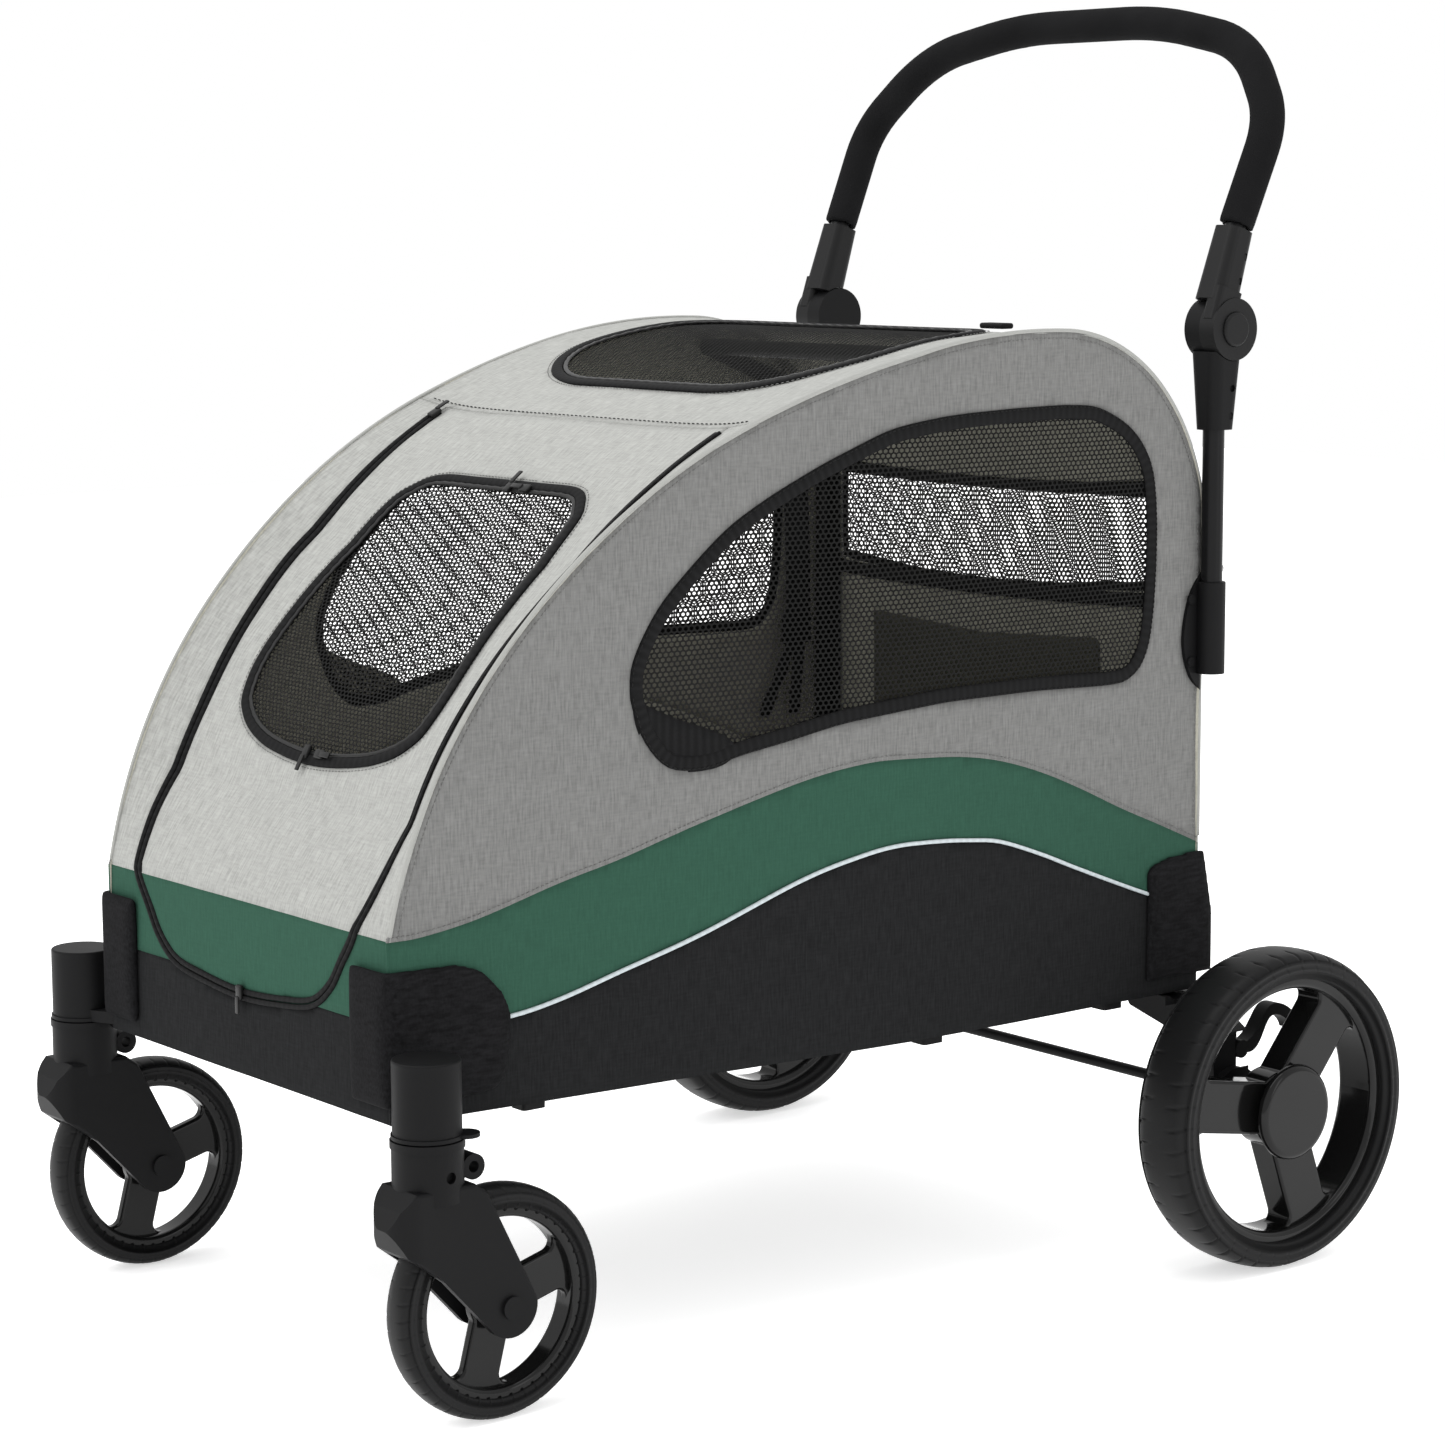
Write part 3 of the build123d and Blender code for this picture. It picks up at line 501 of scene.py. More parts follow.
def mapped(tree, source, scale=(1, 1, 1)):
    """Coordinates of one kind, scaled per axis."""
    coords = tree.nodes.new("ShaderNodeTexCoord")
    return add(tree, "Mapping", {"Scale": scale, "Vector": coords.outputs[source]}).outputs["Vector"]


def noise_of(tree, vector, scale, detail=3.0):
    """Noise value on a vector."""
    values = {"Scale": scale, "Detail": detail, "Roughness": 0.55, "Vector": vector}
    return add(tree, "TexNoise", values).outputs["Fac"]


def bands(tree, vector, pitch, distortion, direction="X"):
    """Wave bands on a vector, a pitch apart."""
    node = add(tree, "TexWave", {"Scale": 1 / (pitch * 20), "Distortion": distortion, "Vector": vector})
    node.bands_direction = direction
    return node.outputs["Fac"]


def combine(tree, kind, a, b):
    """Maths of two values or sockets."""
    node = add(tree, "Math", {0: a, 1: b})
    node.operation = kind
    return node.outputs["Value"]


def blend(tree, *parts):
    """Sum of sockets, each times its weight."""
    total, *rest = [combine(tree, "MULTIPLY", *part) for part in parts]
    for part in rest:
        total = combine(tree, "ADD", total, part)
    return total


def tint(tree, shader, value, colour, *stops):
    """Base colour: the colour made lighter or darker at (position, factor) stops of a value."""
    ramp = add(tree, "ValToRGB", {"Fac": value})
    stops = [(at, (*(min(1.0, c * factor) for c in colour), 1)) for at, factor in stops]
    for element, stop in zip(ramp.color_ramp.elements, (stops[0], stops[-1])):
        element.position, element.color = stop
    for at, shade in stops[1:-1]:
        ramp.color_ramp.elements.new(at).color = shade
    wire(tree, shader, {"Base Color": ramp.outputs["Color"]})


def bump(tree, shader, height, strength, distance):
    """Bump from a height socket."""
    node = add(tree, "Bump", {"Strength": strength, "Distance": distance, "Height": height})
    wire(tree, shader, {"Normal": node.outputs["Normal"]})


def woven(name, colour, contrast, pitch=0.0011, source="UV", roughness=0.92, sheen=0.0):
    """Woven cloth: threads of slightly different tones both ways, slubs, and a woven surface."""
    material, tree, shader = blank(name, roughness, 0.08)
    wire(tree, shader, {"Sheen Weight": sheen, "Sheen Roughness": 0.5})
    plain = mapped(tree, source)
    warp = noise_of(tree, mapped(tree, source, (620, 60, 300)), 1.0, 2.0)
    weft = noise_of(tree, mapped(tree, source, (78, 496, 300)), 1.0, 2.0)
    tone = blend(tree, (warp, 0.62), (weft, 0.3), (noise_of(tree, plain, 14), 0.08))
    tint(tree, shader, tone, colour, (0.36, 1 - contrast), (0.5, 1), (0.64, 1 + contrast))
    weave = combine(tree, "MAXIMUM", bands(tree, plain, pitch, 0.6, "X"), bands(tree, plain, pitch, 0.6, "Y"))
    bump(tree, shader, blend(tree, (weave, 0.6), (warp, 0.4)), 0.35, 0.0004)
    return material


def plastic(name, colour, roughness, grain=900, depth=0.00012, coat=0.0, metallic=0.0, specular=0.5):
    """Moulded or painted surface: fine grain, faint tone changes, worn patches with another gloss."""
    material, tree, shader = blank(name, roughness, specular)
    space = mapped(tree, "Object")
    broad = noise_of(tree, space, 9, 4.0)
    tint(tree, shader, broad, colour, (0.3, 0.82), (0.55, 1), (0.8, 1.22))
    spread = add(tree, "MapRange", {"To Min": roughness * 0.85, "To Max": min(1.0, roughness * 1.2), "Value": broad})
    wire(tree, shader, {"Coat Weight": coat, "Coat Roughness": 0.08, "Metallic": metallic,
                        "Roughness": spread.outputs["Result"]})
    bump(tree, shader, noise_of(tree, space, grain, 2.0), 0.25, depth)
    return material


def webbing(name, colour, contrast=1.0):
    """Strap or binding tape: ribs across, slightly shiny."""
    material, tree, shader = blank(name, 0.7, 0.12)
    space = mapped(tree, "UV")
    tone = blend(tree, (bands(tree, space, 0.0012, 0.8), 0.5), (noise_of(tree, space, 500, 2.0), 0.5))
    tint(tree, shader, tone, colour, (0.25, 1 - 0.3 * contrast), (0.5, 1), (0.8, 1 + 0.5 * contrast))
    bump(tree, shader, tone, 0.4 * contrast, 0.0003)
    return material


def foam(name, colour):
    """Soft closed-cell foam: fine pores and a dull surface."""
    material, tree, shader = blank(name, 0.95, 0.08)
    space = mapped(tree, "Object")
    cells = add(tree, "TexVoronoi", {"Scale": 900, "Vector": space})
    broad = noise_of(tree, space, 16, 4.0)
    tint(tree, shader, broad, colour, (0.3, 0.8), (0.55, 1), (0.8, 1.3))
    bump(tree, shader, blend(tree, (cells.outputs["Distance"], 1), (broad, 0.6)), 0.5, 0.0005)
    return material


# one grey heather cloth in two colours: the first lightened with painted light for the front, door and roof, the
# second darkened with painted shade for the sides
GREY_PAINTED_LIT = (0.345, 0.348, 0.332)
GREY_PAINTED_SHADE = (0.172, 0.172, 0.168)
GREEN = (0.0285, 0.079, 0.054)
CHARCOAL = (0.0132, 0.0136, 0.0142)

M = {
    # top and side are the same grey cloth: painted light on the top copy, painted shade on the side copy
    "top": woven("heather_painted_lit", GREY_PAINTED_LIT, 0.17, sheen=0.05),
    "side": woven("heather_side", GREY_PAINTED_SHADE, 0.19, sheen=0.05),
    "green": woven("green_cloth", GREEN, 0.09, pitch=0.0008),
    "charcoal": woven("charcoal_cloth", CHARCOAL, 0.25, pitch=0.0014),
    "lining": woven("lining_cloth", (0.40, 0.39, 0.33), 0.14),
    "pocket": woven("pocket_cloth", (0.085, 0.083, 0.066), 0.2),
    "pad": woven("pad_cloth", (0.0075, 0.0075, 0.0082), 0.5, pitch=0.003, source="Object", roughness=0.8),
    "cushion": woven("cushion_cloth", (0.12, 0.12, 0.115), 0.16, source="Object"),
    "net": plastic("net_yarn", (0.010, 0.010, 0.0098), 0.8, grain=1500, specular=0.1),
    "binding": webbing("binding_tape", (0.0055, 0.0055, 0.0058)),
    "webbing": webbing("strap_webbing", (0.010, 0.010, 0.0105)),
    "piping": webbing("reflective_piping", (0.50, 0.55, 0.57), 0.15),
    "thread": plastic("sewing_thread", (0.20, 0.20, 0.195), 0.8, grain=2000, specular=0.2),
    "dark_thread": plastic("dark_thread", (0.02, 0.02, 0.02), 0.8, grain=2000, specular=0.1),
    "zip": plastic("zip_teeth", (0.008, 0.008, 0.008), 0.35, grain=1200, specular=0.25),
    "black": plastic("black_moulding", (0.0062, 0.0062, 0.0066), 0.5, grain=1100, depth=0.0002, specular=0.11),
    "grey": plastic("grey_moulding", (0.0085, 0.0085, 0.0088), 0.42, grain=1300, specular=0.16),
    "gloss": plastic("gloss_moulding", (0.006, 0.006, 0.006), 0.12, grain=200, depth=0.00003, coat=0.06, specular=0.2),
    "rubber": plastic("tyre_rubber", (0.008, 0.008, 0.0083), 0.42, grain=700, depth=0.0002, specular=0.14),
    "foam": foam("grip_foam", (0.0085, 0.0085, 0.009)),
    "tube": plastic("coated_tube", (0.0055, 0.0055, 0.006), 0.3, grain=1500, depth=0.00008, specular=0.16),
    "steel": plastic("plated_steel", (0.35, 0.35, 0.35), 0.3, grain=1800, metallic=1.0),
}


def soft(piece):
    """Give the piece a mesh of its own."""
    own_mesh(piece)


def declare(piece, outline, holes):
    """Work out the cut size of a cloth panel from its outline and holes, the smallest turned box around it, and its
    area; the result is not kept.
    """
    loop = counter_clockwise(np.array(outline))
    turns = [loop @ np.array([[math.cos(t), -math.sin(t)], [math.sin(t), math.cos(t)]])
             for t in np.linspace(0, math.pi / 2, 46)]
    size = min((turned.max(0) - turned.min(0) for turned in turns), key=lambda span: span[0] * span[1])
    cut, *open_areas = [0.5 * abs(double_area(counter_clockwise(np.array(line)))) for line in (loop, *holes)]
    float(min(cut - sum(open_areas), size[0] * size[1]))


# outlines in mm: (y, z) on the sides, (x, z) for the right half of the front
GREY_EDGE = np.array([(-460, 370), (-431, 371), (-379, 380), (-307, 400), (-252, 413), (-177, 434), (-80, 458),
                      (-20, 467), (20, 468), (85, 464), (131, 456), (177, 442), (224, 423), (272, 401),
                      (320, 381), (369, 360)]) / 1000
PIPING = np.array([(-460, 303), (-400, 299), (-353, 300), (-308, 308), (-253, 323), (-177, 344), (-80, 377),
                   (-20, 391), (20, 396), (63, 395), (97, 392), (131, 387), (178, 371), (225, 352), (306, 321),
                   (369, 301)]) / 1000
SIDE_WINDOW = np.array([(-240, 546), (-236, 570), (-213, 608), (-175, 645), (-137, 674), (-80, 703), (-21, 727),
                        (19, 740), (72, 747), (128, 750), (174, 751), (208, 751), (243, 747), (279, 729),
                        (301, 702), (309, 667), (310, 615), (306, 563), (298, 533), (283, 517), (259, 512),
                        (176, 514), (130, 514), (63, 513), (0, 508), (-40, 504), (-90, 495), (-138, 487),
                        (-167, 480), (-195, 480), (-212, 487), (-228, 506), (-237, 529)]) / 1000
ZIP_EDGE = [(202, 746), (198, 707), (193, 663), (192, 629), (188, 593), (184, 552), (180, 502), (180, 439),
            (178, 406), (169, 372), (149, 343), (132, 321), (105, 304), (60, 297), (0, 293)]
DOOR_WINDOW = [(100, 700), (125, 690), (136, 676), (141, 634), (143, 595), (144, 548), (138, 520), (129, 506),
               (105, 491), (66, 480), (0, 474)]


def run_between(first, last, step=STEP):
    """Evenly spaced profile distances between two ends."""
    return np.linspace(first, last, max(2, int(abs(last - first) / step)))


def profile_points(first, last, step=STEP):
    """Profile points (y, z) between two distances."""
    return np.stack(profile_at(run_between(first, last, step)), 1)


def mirrored(half):
    """A symmetric line from its right half, listed from the outer end to the middle."""
    return np.array(half + [(-x, v) for x, v in reversed(half) if x > 0])


def level(first, last, s, count):
    """Evenly spaced points from side to side at one profile distance."""
    return np.stack([np.linspace(first, last, count), np.full(count, s)], 1)


def edge_x(s):
    """Half width of the cabin at a profile distance."""
    return half_width(profile_at(s)[0])


def between(first, last, inner, side=1):
    """Outline from the cabin's edge to the line inner(s), from one profile distance to another."""
    run = run_between(first, last)
    return np.concatenate([np.stack([side * edge_x(run), run], 1), np.stack([inner(run[::-1]), run[::-1]], 1)])


grey_line = smooth_line(GREY_EDGE, False, 96)
piping_line = smooth_line(PIPING, False, 96)
window_line = smooth_line(SIDE_WINDOW, True, 190)
window_loop = counter_clockwise(window_line)
S_GREY, S_BAND = front_at(GREEN_TOP), front_at(GREEN_LOW)
S_BACK_GREY, S_BACK_BAND = back_at(0.360), back_at(0.301)

for name, side in SIDES:
    place = side_place(side)
    top = np.concatenate([grey_line, profile_points(S_BACK_GREY, S_GREY)[1:-1]])
    band = np.concatenate([piping_line, grey_line[::-1]])
    low = np.concatenate([piping_line[::-1], profile_points(S_BAND, 0)[1:],
                          np.array([[y, BOTTOM] for y in np.linspace(FRONT, BACK, 90)])[1:-1],
                          profile_points(S_END, S_BACK_BAND)[:-1]])
    upper, green, lower = [
        cloth_sheet(f"side_{part}_{name}", line, holes, place, look, seed=3 + side, flip=side < 0)
        for part, line, holes, look in (("cloth", top, [window_line[:-1]], "side"), ("green", band, [], "green"),
                                        ("charcoal", low, [], "charcoal"))]
    binding = strip(f"side_window_binding_{name}", shift_line(window_loop, -0.004), place, 0.012, 0.0022, "binding")
    net = net_sheet(f"side_net_{name}", shift_line(window_loop, -0.003), place)
    piping = strip(f"side_piping_{name}", piping_line, place, 0.0034, 0.0022, "piping", closed=False)
    seam_a = stitches(f"side_window_stitches_{name}", shift_line(window_loop, 0.0005), place, "dark_thread",
                      radius=0.00055, lift=0.002)
    seam_b = stitches(f"side_green_stitches_{name}", shift_line(grey_line, -0.0035, False), place, "thread")
    # a round bead along the edge where the side meets the front, roof and back, in the lighter cloth colour: a painted
    # highlight on that fold
    inset = profile_points(S_GREY + 0.004, back_at(0.366), 0.006)
    rim = cord(f"side_edge_bead_painted_highlight_{name}", np.insert(inset, 0, side * (half_width(inset[:, 0]) - 0.0006), 1),
               0.0017, "top")
    seam_c = stitches(f"side_edge_stitches_{name}", shift_line(inset, 0.0065, False), place, "thread")
    declare(upper, top, [window_line[:-1]])
    declare(green, band, [])
    declare(lower, low, [])
    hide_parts(f"side_panel_{name}")
    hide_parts(f"side_window_{name}")

# the solid cloth corner behind the low front end of each side window
corner = smooth_line(np.array([(-239, 545), (-228, 534), (-200, 521), (-170, 510), (-152, 502), (-143, 492),
                               (-150, 482), (-167, 477), (-195, 477), (-214, 484), (-230, 503),
                               (-238, 522)]) / 1000, True, 60)[:-1]
for name, side in SIDES:
    patch = cloth_sheet(f"side_window_corner_{name}", corner, [],
                        lambda y, z, lift=0.0, side=side: side_place(side)(y, z, lift + 0.001),
                        "binding", step=0.008, seed=8, thickness=0.001, flip=side < 0)
    declare(patch, corner, [])


def s_front(z):
    """Profile distance of a feature on the sagging front at height z."""
    s = front_at(z)
    return s + 0.35 * np.interp(s, SAG_S, SAG_D)


zip_line = smooth_line(mirrored([(x / 1000, s_front(z / 1000)) for x, z in ZIP_EDGE]), False, 260)
door_top = S_SEAM - 0.001
right_zip = zip_line[zip_line[:, 0] > 0]
right_zip = right_zip[np.argsort(right_zip[:, 1])]


def zip_x(s):
    """Half width of the door at a profile distance."""
    return np.interp(s, right_zip[:, 1], right_zip[:, 0])


for name, side in SIDES:
    for part, first, last, look, held_by in (("cloth", S_GREY, S_SEAM, "top", "front_hoop"),
                                             ("green", S_BAND, S_GREY, "green", "front_pivot_brackets")):
        outline = between(first, last, lambda s: side * (zip_x(s) + ZIP_GAP), side)
        piece = cloth_sheet(f"front_{part}_{name}", outline, [], band_place, look, seed=5)
        declare(piece, outline, [])

bite = zip_line[(np.abs(zip_line[:, 0]) < zip_x(S_BAND)) & (zip_line[:, 1] < S_BAND + 0.004)]
band_x = zip_x(S_BAND) + ZIP_GAP
low_front = np.concatenate([level(-FRONT_HALF, FRONT_HALF, 0, 50),
                            np.array([[FRONT_HALF, s] for s in run_between(0, S_BAND)])[1:],
                            [(band_x, S_BAND)], bite - [0, ZIP_GAP], [(-band_x, S_BAND)],
                            np.array([[-FRONT_HALF, s] for s in run_between(S_BAND, 0)])[:-1]])
charcoal = cloth_sheet("front_charcoal", low_front, [], band_place, "charcoal", seed=5)
declare(charcoal, low_front, [])
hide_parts("front_surround")

door_window = [(x / 1000, s_front(z / 1000 + 0.006)) for x, z in DOOR_WINDOW]
door_window = smooth_line(mirrored([(0.040, s_front(0.707))] + door_window), True, 170)
upper_zip = right_zip[right_zip[:, 1] > S_GREY]
lower_zip = zip_line[zip_line[:, 1] < S_GREY]
grey_x, top_x = zip_x(S_GREY), zip_x(door_top)
door_grey = np.concatenate([[(grey_x, S_GREY)], upper_zip, [(top_x, door_top)],
                            level(top_x, -top_x, door_top, 44)[1:], (upper_zip * [-1, 1])[::-1],
                            [(-grey_x, S_GREY)], level(-grey_x, grey_x, S_GREY, 42)[1:-1]]) * [0.994, 1]
door_green = np.concatenate([level(grey_x, -grey_x, S_GREY, 42), lower_zip[::-1][1:-1]]) * [0.994, 1]
window_hole = counter_clockwise(door_window)
panel = cloth_sheet("door_cloth", door_grey, [window_hole], band_place, "top", body="door", seed=5)
panel_green = cloth_sheet("door_green", door_green, [], band_place, "green", body="door", seed=5)
door_binding = strip("door_window_binding", shift_line(window_hole, -0.002), band_place, 0.010, 0.0026,
                     "binding", "door")
door_teeth = strip("door_window_zip", shift_line(window_hole, -0.0085), band_place, 0.004, 0.0018, "zip", "door",
                   teeth=True)
door_net = net_sheet("door_net", shift_line(window_hole, -0.002), band_place, "door")
door_seam = stitches("door_window_stitches", shift_line(window_hole, 0.0055), band_place, "thread", "door")
declare(panel, door_grey, [window_hole])
declare(panel_green, door_green, [])
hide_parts("door_panel")
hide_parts("door_window")

strip("door_zip_door_side", shift_line(zip_line, 0.0034, False), band_place, 0.0048, 0.0019, "binding",
      "door", closed=False)
strip("door_zip_frame_side", shift_line(zip_line, -0.0018, False), band_place, 0.0046, 0.0025, "binding", closed=False)

# ---- roof and back
ROOF_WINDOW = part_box("roof_window")[1]
roof_0, roof_1 = roof_at(-0.057), roof_at(ROOF_WINDOW.y)
half = ROOF_WINDOW.x
roof_loop = []
for sign, at, radius, start in ((1, roof_1, 0.062, 0), (-1, roof_1, 0.062, 90), (-1, roof_0, 0.120, 180),
                                (1, roof_0, 0.120, 270)):
    cx, cs = sign * (half - radius), at + radius * (1 if at == roof_0 else -1)
    roof_loop += [(cx + radius * math.cos(math.radians(start + t)), cs + radius * math.sin(math.radians(start + t)))
                  for t in range(0, 91, 6)]
roof_loop = counter_clockwise(even_line(np.array(roof_loop + roof_loop[:1]), 170)[:-1])
BACK_LOW, BACK_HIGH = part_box("rear_window")
back_top, back_bottom = BACK_HIGH.z, BACK_LOW.z
back_hole = [(x * BACK_HIGH.x, back_at(z)) for x, z in ((0.30, back_top - 0.007), (0.75, back_top - 0.002),
                                                         (0.96, back_top - 0.004), (1.0, back_top - 0.016),
                                                         (1.0, back_bottom + 0.016), (0.96, back_bottom + 0.006),
                                                         (0.75, back_bottom + 0.002), (0.30, back_bottom - 0.005))]
back_hole = smooth_line(mirrored(back_hole), True, 130)
back_loop = counter_clockwise(back_hole)
outlines = [between(first, last, lambda s: -edge_x(s))
            for first, last in ((S_SEAM, S_BACK_GREY), (S_BACK_GREY, S_BACK_BAND), (S_BACK_BAND, S_END))]
roof, back_green, back_low = [
    cloth_sheet(label, outline, holes, band_place, look, seed=6)
    for label, outline, holes, look in zip(("roof_cloth", "back_green", "back_charcoal"), outlines,
                                           ([roof_loop, back_loop], [], []), ("top", "green", "charcoal"))]
roof_binding = strip("roof_window_binding", shift_line(roof_loop, -0.003), band_place, 0.011, 0.0024, "binding")
roof_net = net_sheet("roof_net", shift_line(roof_loop, -0.003), band_place)
strip("roof_window_zip", shift_line(roof_loop, -0.011), band_place, 0.0045, 0.0018, "zip", teeth=True)
roof_seam = stitches("roof_seam_stitches", level(-0.226, 0.226, S_SEAM + 0.006, 90), band_place, "dark_thread",
                     pitch=0.006, length=0.004, radius=0.00055)
stitches("roof_window_stitches", shift_line(roof_loop, 0.0055), band_place, "thread")
strip("back_window_binding", shift_line(back_loop, -0.002), band_place, 0.012, 0.002, "binding")
back_net = net_sheet("back_net", shift_line(back_loop, -0.002), band_place)
declare(roof, outlines[0], [roof_loop, back_hole[:-1]])
declare(back_green, outlines[1], [])
declare(back_low, outlines[2], [])
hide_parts("roof_panel")
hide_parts("rear_panel")
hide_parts("roof_window")
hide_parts("rear_window")

# ---- inside: pocket, pillar strap, sagging mesh hem
def wall_place(x, z, lift=0.0):
    """Point just inside the back wall, which sags inwards between the hoop's uprights."""
    return band_place(np.asarray(x, float), back_at(np.asarray(z, float)), -0.004 - lift)


pocket_low, pocket_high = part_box("rear_pocket")
pocket_line = even_line(np.array([(pocket_low.x, pocket_low.z), (pocket_high.x, pocket_low.z),
                                  (pocket_high.x, pocket_high.z), (0, pocket_high.z - 0.008),
                                  (pocket_low.x, pocket_high.z), (pocket_low.x, pocket_low.z)]), 100)[:-1]
pocket = cloth_sheet("pocket_cloth", pocket_line, [], wall_place, "pocket", "pocket", 0.01, seed=9,
                     wrinkle=0.0022, thickness=0.0012)
declare(pocket, pocket_line, [])
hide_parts("rear_pocket")
hem_x = np.linspace(-0.235, 0.235, 60)
for label, z, bow in (("top", back_top + 0.002, -0.007), ("bottom", back_bottom - 0.002, -0.005)):
    line = np.stack([hem_x, z + bow * np.cos(hem_x / 0.235 * math.pi / 2)], 1)
    strip(f"back_window_{label}_tape", line, wall_place, 0.013, 0.002, "binding", closed=False)
for name, side in SIDES:
    line = np.stack([np.full(50, side * 0.227), np.linspace(0.30, 0.72, 50)], 1)
    strip(f"back_zip_tape_{name}", line, wall_place, 0.027, 0.003, "binding", closed=False)

strap_low, strap_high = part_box("tether_strap")
strap_x = strap_low.x + 0.003


def strap_place(y, z, lift=0.0):
    """Point on the tether strap, which lies along the right side wall."""
    z = np.asarray(z, float)
    share = (z - strap_low.z) / (strap_high.z - strap_low.z)
    return np.stack([strap_x + lift + 0.006 * np.sin(share * math.pi), np.asarray(y, float), z], -1)


def band_line(start, end, width, count=70):
    """Outline of a straight strap between two points."""
    start, end = np.array(start), np.array(end)
    along = (end - start) / np.linalg.norm(end - start)
    aside = np.array([along[1], -along[0]]) * width / 2
    return even_line(np.array([start - aside, start + aside, end + aside, end - aside, start - aside]), count)[:-1]


fork_z, clip_z = 0.500, strap_low.z + 0.012
fork_y = 0.312
for label, start, end, width in (("main", (fork_y, strap_high.z), (fork_y, fork_z), 0.030),
                                 ("leg_a", (fork_y - 0.003, fork_z + 0.006), (strap_low.y + 0.016, clip_z), 0.013),
                                 ("leg_b", (fork_y + 0.003, fork_z + 0.006), (fork_y - 0.001, clip_z), 0.013)):
    line = band_line(start, end, width)
    strap = cloth_sheet(f"tether_{label}", line, [], strap_place, "webbing", "webbing", 0.006, seed=2,
                        wrinkle=0.0004, thickness=0.0014)
    declare(strap, line, [])
    if label == "main":
        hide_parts("tether_strap")
rounded_block("tether_buckle", (strap_x + 0.003, fork_y, fork_z + 0.012), (0.008, 0.034, 0.030), 0.003, "black")

# ---- zip sliders
def slider(name, x, s, body, hang=True, turn=0.0):
    """Zip slider with its pull tab, set on the front cloth at (x, s)."""
    spot, ahead, across = (Vector(band_place(np.array(x + dx), np.array(s + ds), 0.002))
                           for dx, ds in ((0, 0), (0, 0.004), (0.004, 0)))
    ahead, across = ahead - spot, across - spot
    up = across.cross(ahead).normalized()
    basis = Matrix((across.normalized(), ahead.normalized(), up)).transposed()
    basis = basis @ Matrix.Rotation(turn, 3, "Z")
    body_piece = rounded_block(f"{name}_body", spot + up * 0.0012, (0.008, 0.012, 0.0042), 0.0015, "zip", body, basis)
    drop = basis @ Vector((0, -1 if hang else 1, 0))
    rounded_block(f"{name}_pull", spot + up * 0.0036 + drop * 0.0105, (0.005, 0.014, 0.0016), 0.0007, "zip", body,
                  basis)
    return body_piece


low_s, high_s = window_hole[:, 1].min(), window_hole[:, 1].max()
for label, x, s, hang, turn in (("low_a", 0.012, low_s + 0.008, True, math.pi / 2),
                                ("low_b", -0.008, low_s + 0.008, True, 0),
                                ("high_a", 0.035, high_s - 0.008, False, math.pi / 2),
                                ("high_b", 0.012, high_s - 0.008, False, 0)):
    slider(f"window_slider_{label}", x, s, "door", hang, turn)
door_slider = slider("door_slider", 0.0, zip_line[:, 1].min() + 0.003, "chassis")
slider("door_zip_end", -0.199, s_front(0.744), "chassis", hang=False)
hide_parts("zip_sliders")
pull_low, pull_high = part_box("roof_buckle")
pull = rounded_block("roof_pull", (pull_low + pull_high) / 2, tuple(pull_high - pull_low), 0.002, "black")
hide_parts("roof_buckle")

# so far, all pieces belong to the cabin
for piece in MADE[:]:
    soft(piece)

# ---- padded pieces
def swollen(name, node, look, voxel, pressure, cap, steps=14, shrink=0.0, body="chassis", rounds=3):
    """Cloth simulation: the CAD piece remeshed, blown up a little and held near its own place."""
    source = NODES[node]
    mesh = source.data.copy()
    mesh.transform(source.matrix_world)
    mesh.materials.clear()
    mesh.materials.append(M[look])
    piece = linked(name, mesh)
    remesh = piece.modifiers.new("remesh", "REMESH")
    remesh.mode = "VOXEL"
    remesh.voxel_size = voxel
    settle(piece)
    if shrink:
        thin = piece.modifiers.new("thin", "DISPLACE")
        thin.strength = -shrink
        thin.mid_level = 0
        settle(piece)
    rest = np.array([v.co for v in piece.data.vertices])
    cloth = piece.modifiers.new("cloth", "CLOTH")
    settings = cloth.settings
    settings.quality = 5
    settings.mass = 0.15
    settings.tension_stiffness = settings.compression_stiffness = 12
    settings.shear_stiffness = 6
    settings.bending_stiffness = 1.5
    settings.use_pressure = True
    settings.uniform_pressure_force = pressure
    settings.effector_weights.gravity = 0
    for step in range(1, steps + 1):
        bpy.context.scene.frame_set(step)
    settle(piece)
    bpy.context.scene.frame_set(1)
    moved = np.array([v.co for v in piece.data.vertices]) - rest
    size = np.linalg.norm(moved, axis=1)[:, None] + TINY
    moved *= np.minimum(1, cap / size)
    piece.data.vertices.foreach_set("co", (rest + moved).ravel())
    smooth = piece.modifiers.new("smooth", "SMOOTH")
    smooth.factor = 0.5
    smooth.iterations = rounds
    settle(piece)
    shade_smooth(piece.data)
    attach(piece, body)
    return piece


for node, voxel, pressure, cap, shrink, look, rounds in (
        ("floor_cushion", 0.006, 6, 0.006, 0.001, "cushion", 3),
        ("front_corner_pads", 0.002, 2, 0.002, -0.0025, "pad", 24),
        ("rear_corner_pads", 0.002, 2, 0.002, -0.0025, "pad", 24)):
    pad = swollen(f"{node}_soft", node, look, voxel, pressure, cap, shrink=shrink, rounds=rounds)
    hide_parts(node)
    soft(pad)

grip = swollen("grip_foam_soft", "handle_foam", "foam", 0.003, 1, 0.0008, steps=2, body="push_bar")
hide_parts("handle_foam")

# ---- tyres
NOTCHES = 44                               # slits around each shoulder
PER_NOTCH = 16                             # steps around the tyre for each
SLIT_IN, SLIT_OUT = 0.35, 0.97             # where a slit runs, as shares of the half width


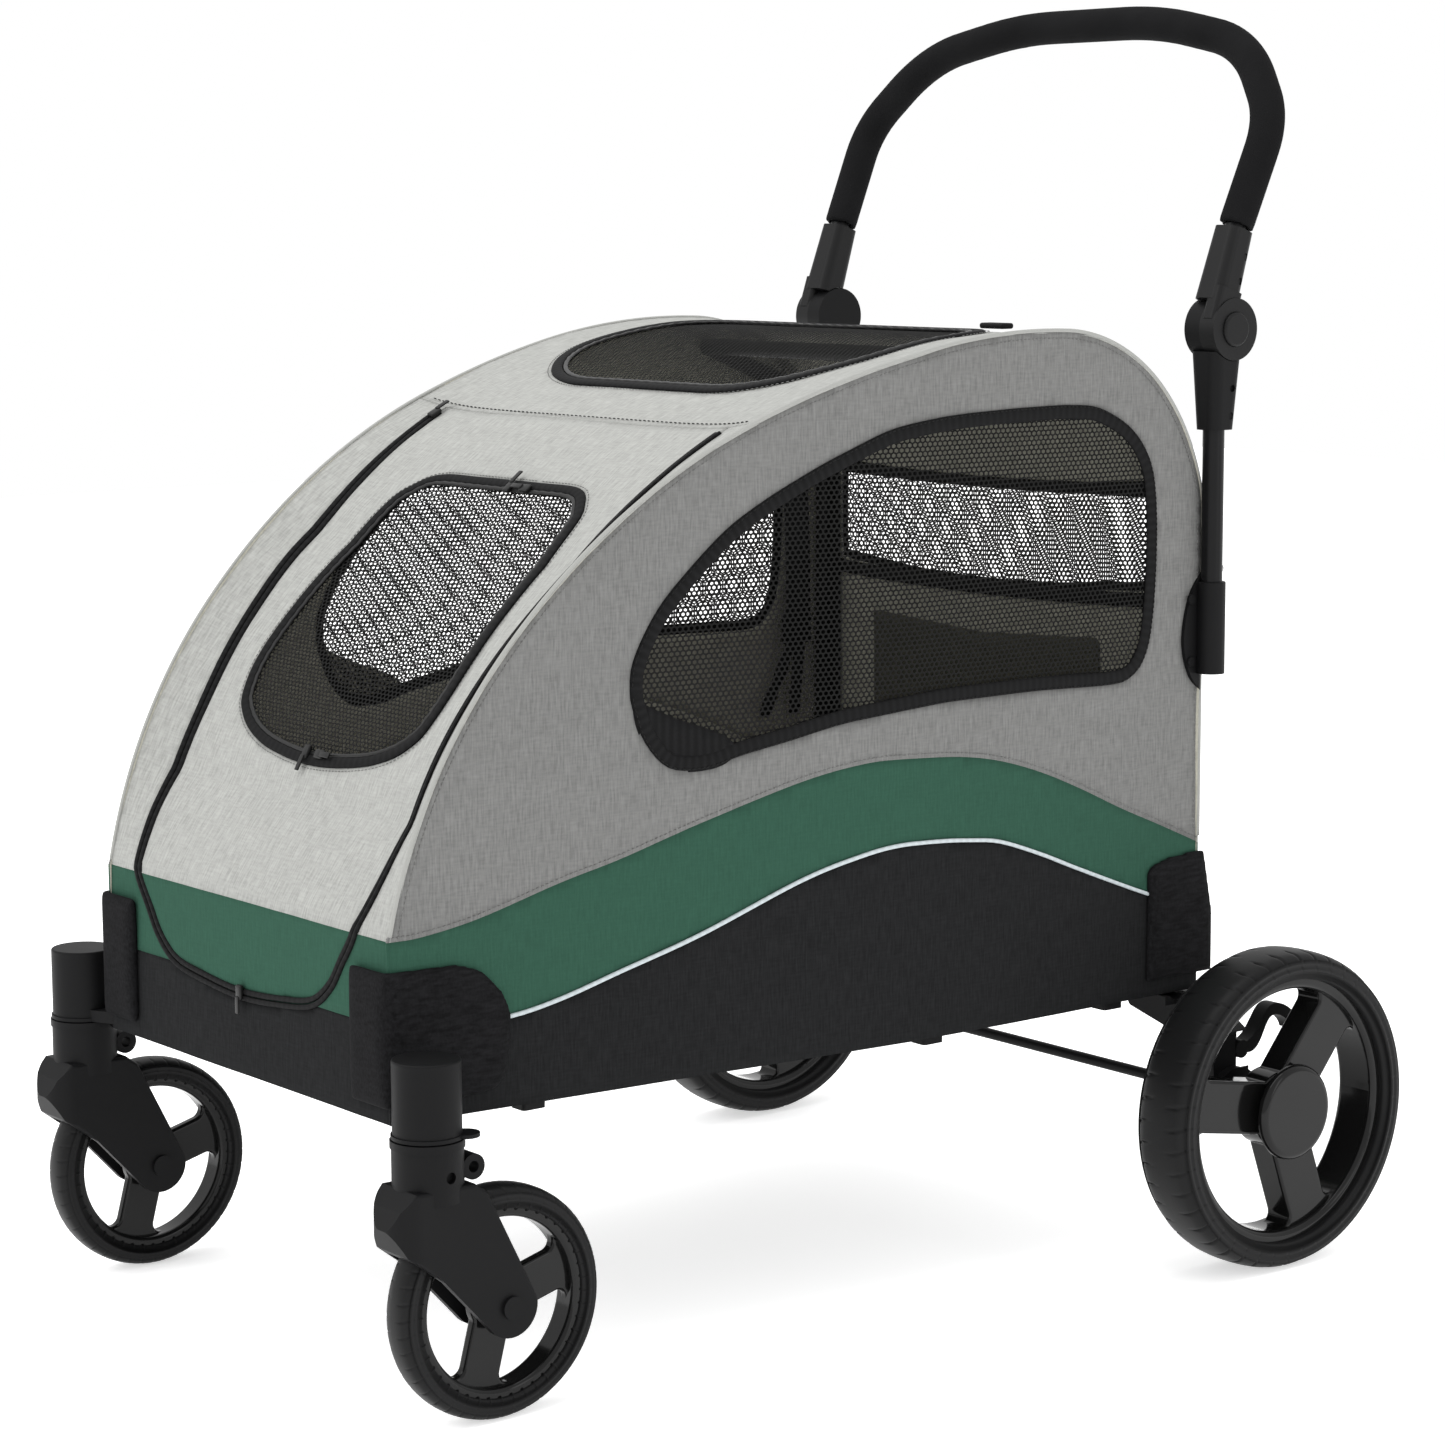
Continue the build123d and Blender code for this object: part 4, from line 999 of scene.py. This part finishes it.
def tyre(name, node, rim, body, depth, groove):
    """Tyre turned from its section, with slit notches across both shoulders and a groove in the sidewall."""
    low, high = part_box(node)
    rim_low, rim_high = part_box(rim)
    centre = (low + high) / 2
    radius, wide = (high.z - low.z) / 2, (high.x - low.x) / 2
    inner = (rim_high.z - rim_low.z) / 2
    wall = radius - inner
    crease = inner + 0.5 * wall
    section = [(inner, 0.80), (inner + 0.001, 0.93), (inner + 0.3 * wall, 0.995), (crease - groove, 1.0),
               (crease - groove * 0.3, 0.985), (crease, 0.955), (crease + groove * 0.3, 0.985),
               (crease + groove, 0.985), (radius - 0.22 * wall - 0.004, 0.95), (radius - 0.0065, 0.90),
               (radius - 0.0042, 0.84), (radius - 0.0022, 0.74), (radius - 0.001, 0.58), (radius - 0.0003, 0.36),
               (radius, 0.16), (radius, 0.0)]
    section += [(r, -x) for r, x in section[-2::-1]] + [(inner, -0.3), (inner, 0.3)]
    count = NOTCHES * PER_NOTCH
    verts = []
    for i in range(count):
        turn = 2 * math.pi * i / count
        for r, x in section:
            share = abs(x)
            if SLIT_IN < share < SLIT_OUT and r > radius - 0.02:
                phase = (i / PER_NOTCH + (share - SLIT_IN) * 0.55 * math.copysign(1, x) + (0.5 if x < 0 else 0)) % 1
                away = min(phase, 1 - phase) * PER_NOTCH
                r -= depth * max(0.0, 1 - away / 1.1) * min(1.0, (share - SLIT_IN) / 0.15)
            verts.append((centre.x + x * wide, centre.y + r * math.cos(turn), centre.z + r * math.sin(turn)))
    piece = outwards(new_piece(name, verts, skin(count, len(section), True), "rubber", body))
    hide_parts(node)


for name, side in SIDES:
    for end, depth, groove in (("front", 0.0016, 0.004), ("rear", 0.0022, 0.006)):
        tyre(f"{end}_tread_{name}", f"{end}_tyre_{name}", f"{end}_rim_{name}", f"{end}_wheel_{name}", depth, groove)

# ---- looks of the CAD parts
LOOKS = {"black_plastic": "black", "grey_plastic": "grey", "gloss_plastic": "gloss", "tyre_rubber": "rubber",
         "painted_tube": "tube", "steel": "steel", "foam": "foam", "webbing": "webbing", "cushion_cloth": "cushion",
         "corner_cloth": "pad", "cabin_cloth": "side", "window_mesh": "net"}
for node in NODES.values():
    for index, entry in enumerate(node.material_slots):
        base = entry.material.name.split(".")[0] if entry.material else "black_plastic"
        node.material_slots[index].material = M[LOOKS.get(base, "black")]
for name in ("lower_sleeve_left", "lower_sleeve_right", "rear_axle"):
    for entry in NODES[name].material_slots:
        entry.material = M["black"]

# ---- floor, light, camera
def floor():
    """Plain pale floor with a soft edge to the background."""
    mesh = bpy.data.meshes.new("floor")
    mesh.from_pydata([(-8, -8, 0), (8, -8, 0), (8, 8, 0), (-8, 8, 0)], [], [(0, 1, 2, 3)])
    piece = linked("floor", mesh)
    material, tree, shader = blank("floor_paper", 0.9, 0.1)
    tint(tree, shader, noise_of(tree, mapped(tree, "Object"), 3), (1, 1, 1), (0.3, 0.97), (0.7, 1))
    wire(tree, shader, {"Emission Color": (1, 1, 1, 1), "Emission Strength": 0.55})
    mesh.materials.append(material)


LAMP_AIM = Vector((0, 0, 0.5))


def lamp(name, place, size, power):
    """Soft area light."""
    data = bpy.data.lights.new(name, "AREA")
    data.shape = "RECTANGLE"
    data.size, data.size_y = size
    data.energy = power
    piece = linked(name, data)
    piece.location = place
    piece.rotation_euler = (LAMP_AIM - Vector(place)).to_track_quat("-Z", "Y").to_euler()


floor()
world = bpy.data.worlds.new("studio")
bpy.context.scene.world = world
world.use_nodes = True
wire(world.node_tree, world.node_tree.nodes["Background"], {"Color": (1, 1, 1, 1), "Strength": 1.0})
lamp("key", (-1.2, -2.6, 2.6), (1.6, 1.6), 22)
lamp("top", (0.0, -0.4, 3.2), (2.4, 2.4), 36)
lamp("side", (3.2, 0.9, 1.3), (0.7, 1.8), 7)

yaw, pitch, roll = np.radians([51.826, 8.13, -0.262]).tolist()
ahead = Vector((-math.sin(yaw) * math.cos(pitch), math.cos(yaw) * math.cos(pitch), -math.sin(pitch)))
right = Vector((math.cos(yaw), math.sin(yaw), 0))
above = right.cross(ahead)
right_rolled = right * math.cos(roll) + above * math.sin(roll)
above_rolled = above * math.cos(roll) - right * math.sin(roll)
camera_data = bpy.data.cameras.new("camera")
camera_data.lens = 90.96
camera_data.sensor_width = 36
camera_data.clip_end = 50
camera = linked("camera", camera_data)
basis = Matrix((right_rolled, above_rolled, -ahead)).transposed().to_4x4()
camera.matrix_world = Matrix.Translation((2.5057, -1.9359, 0.9251)) @ basis
bpy.context.scene.camera = camera
bpy.context.scene.view_settings.view_transform = "Standard"
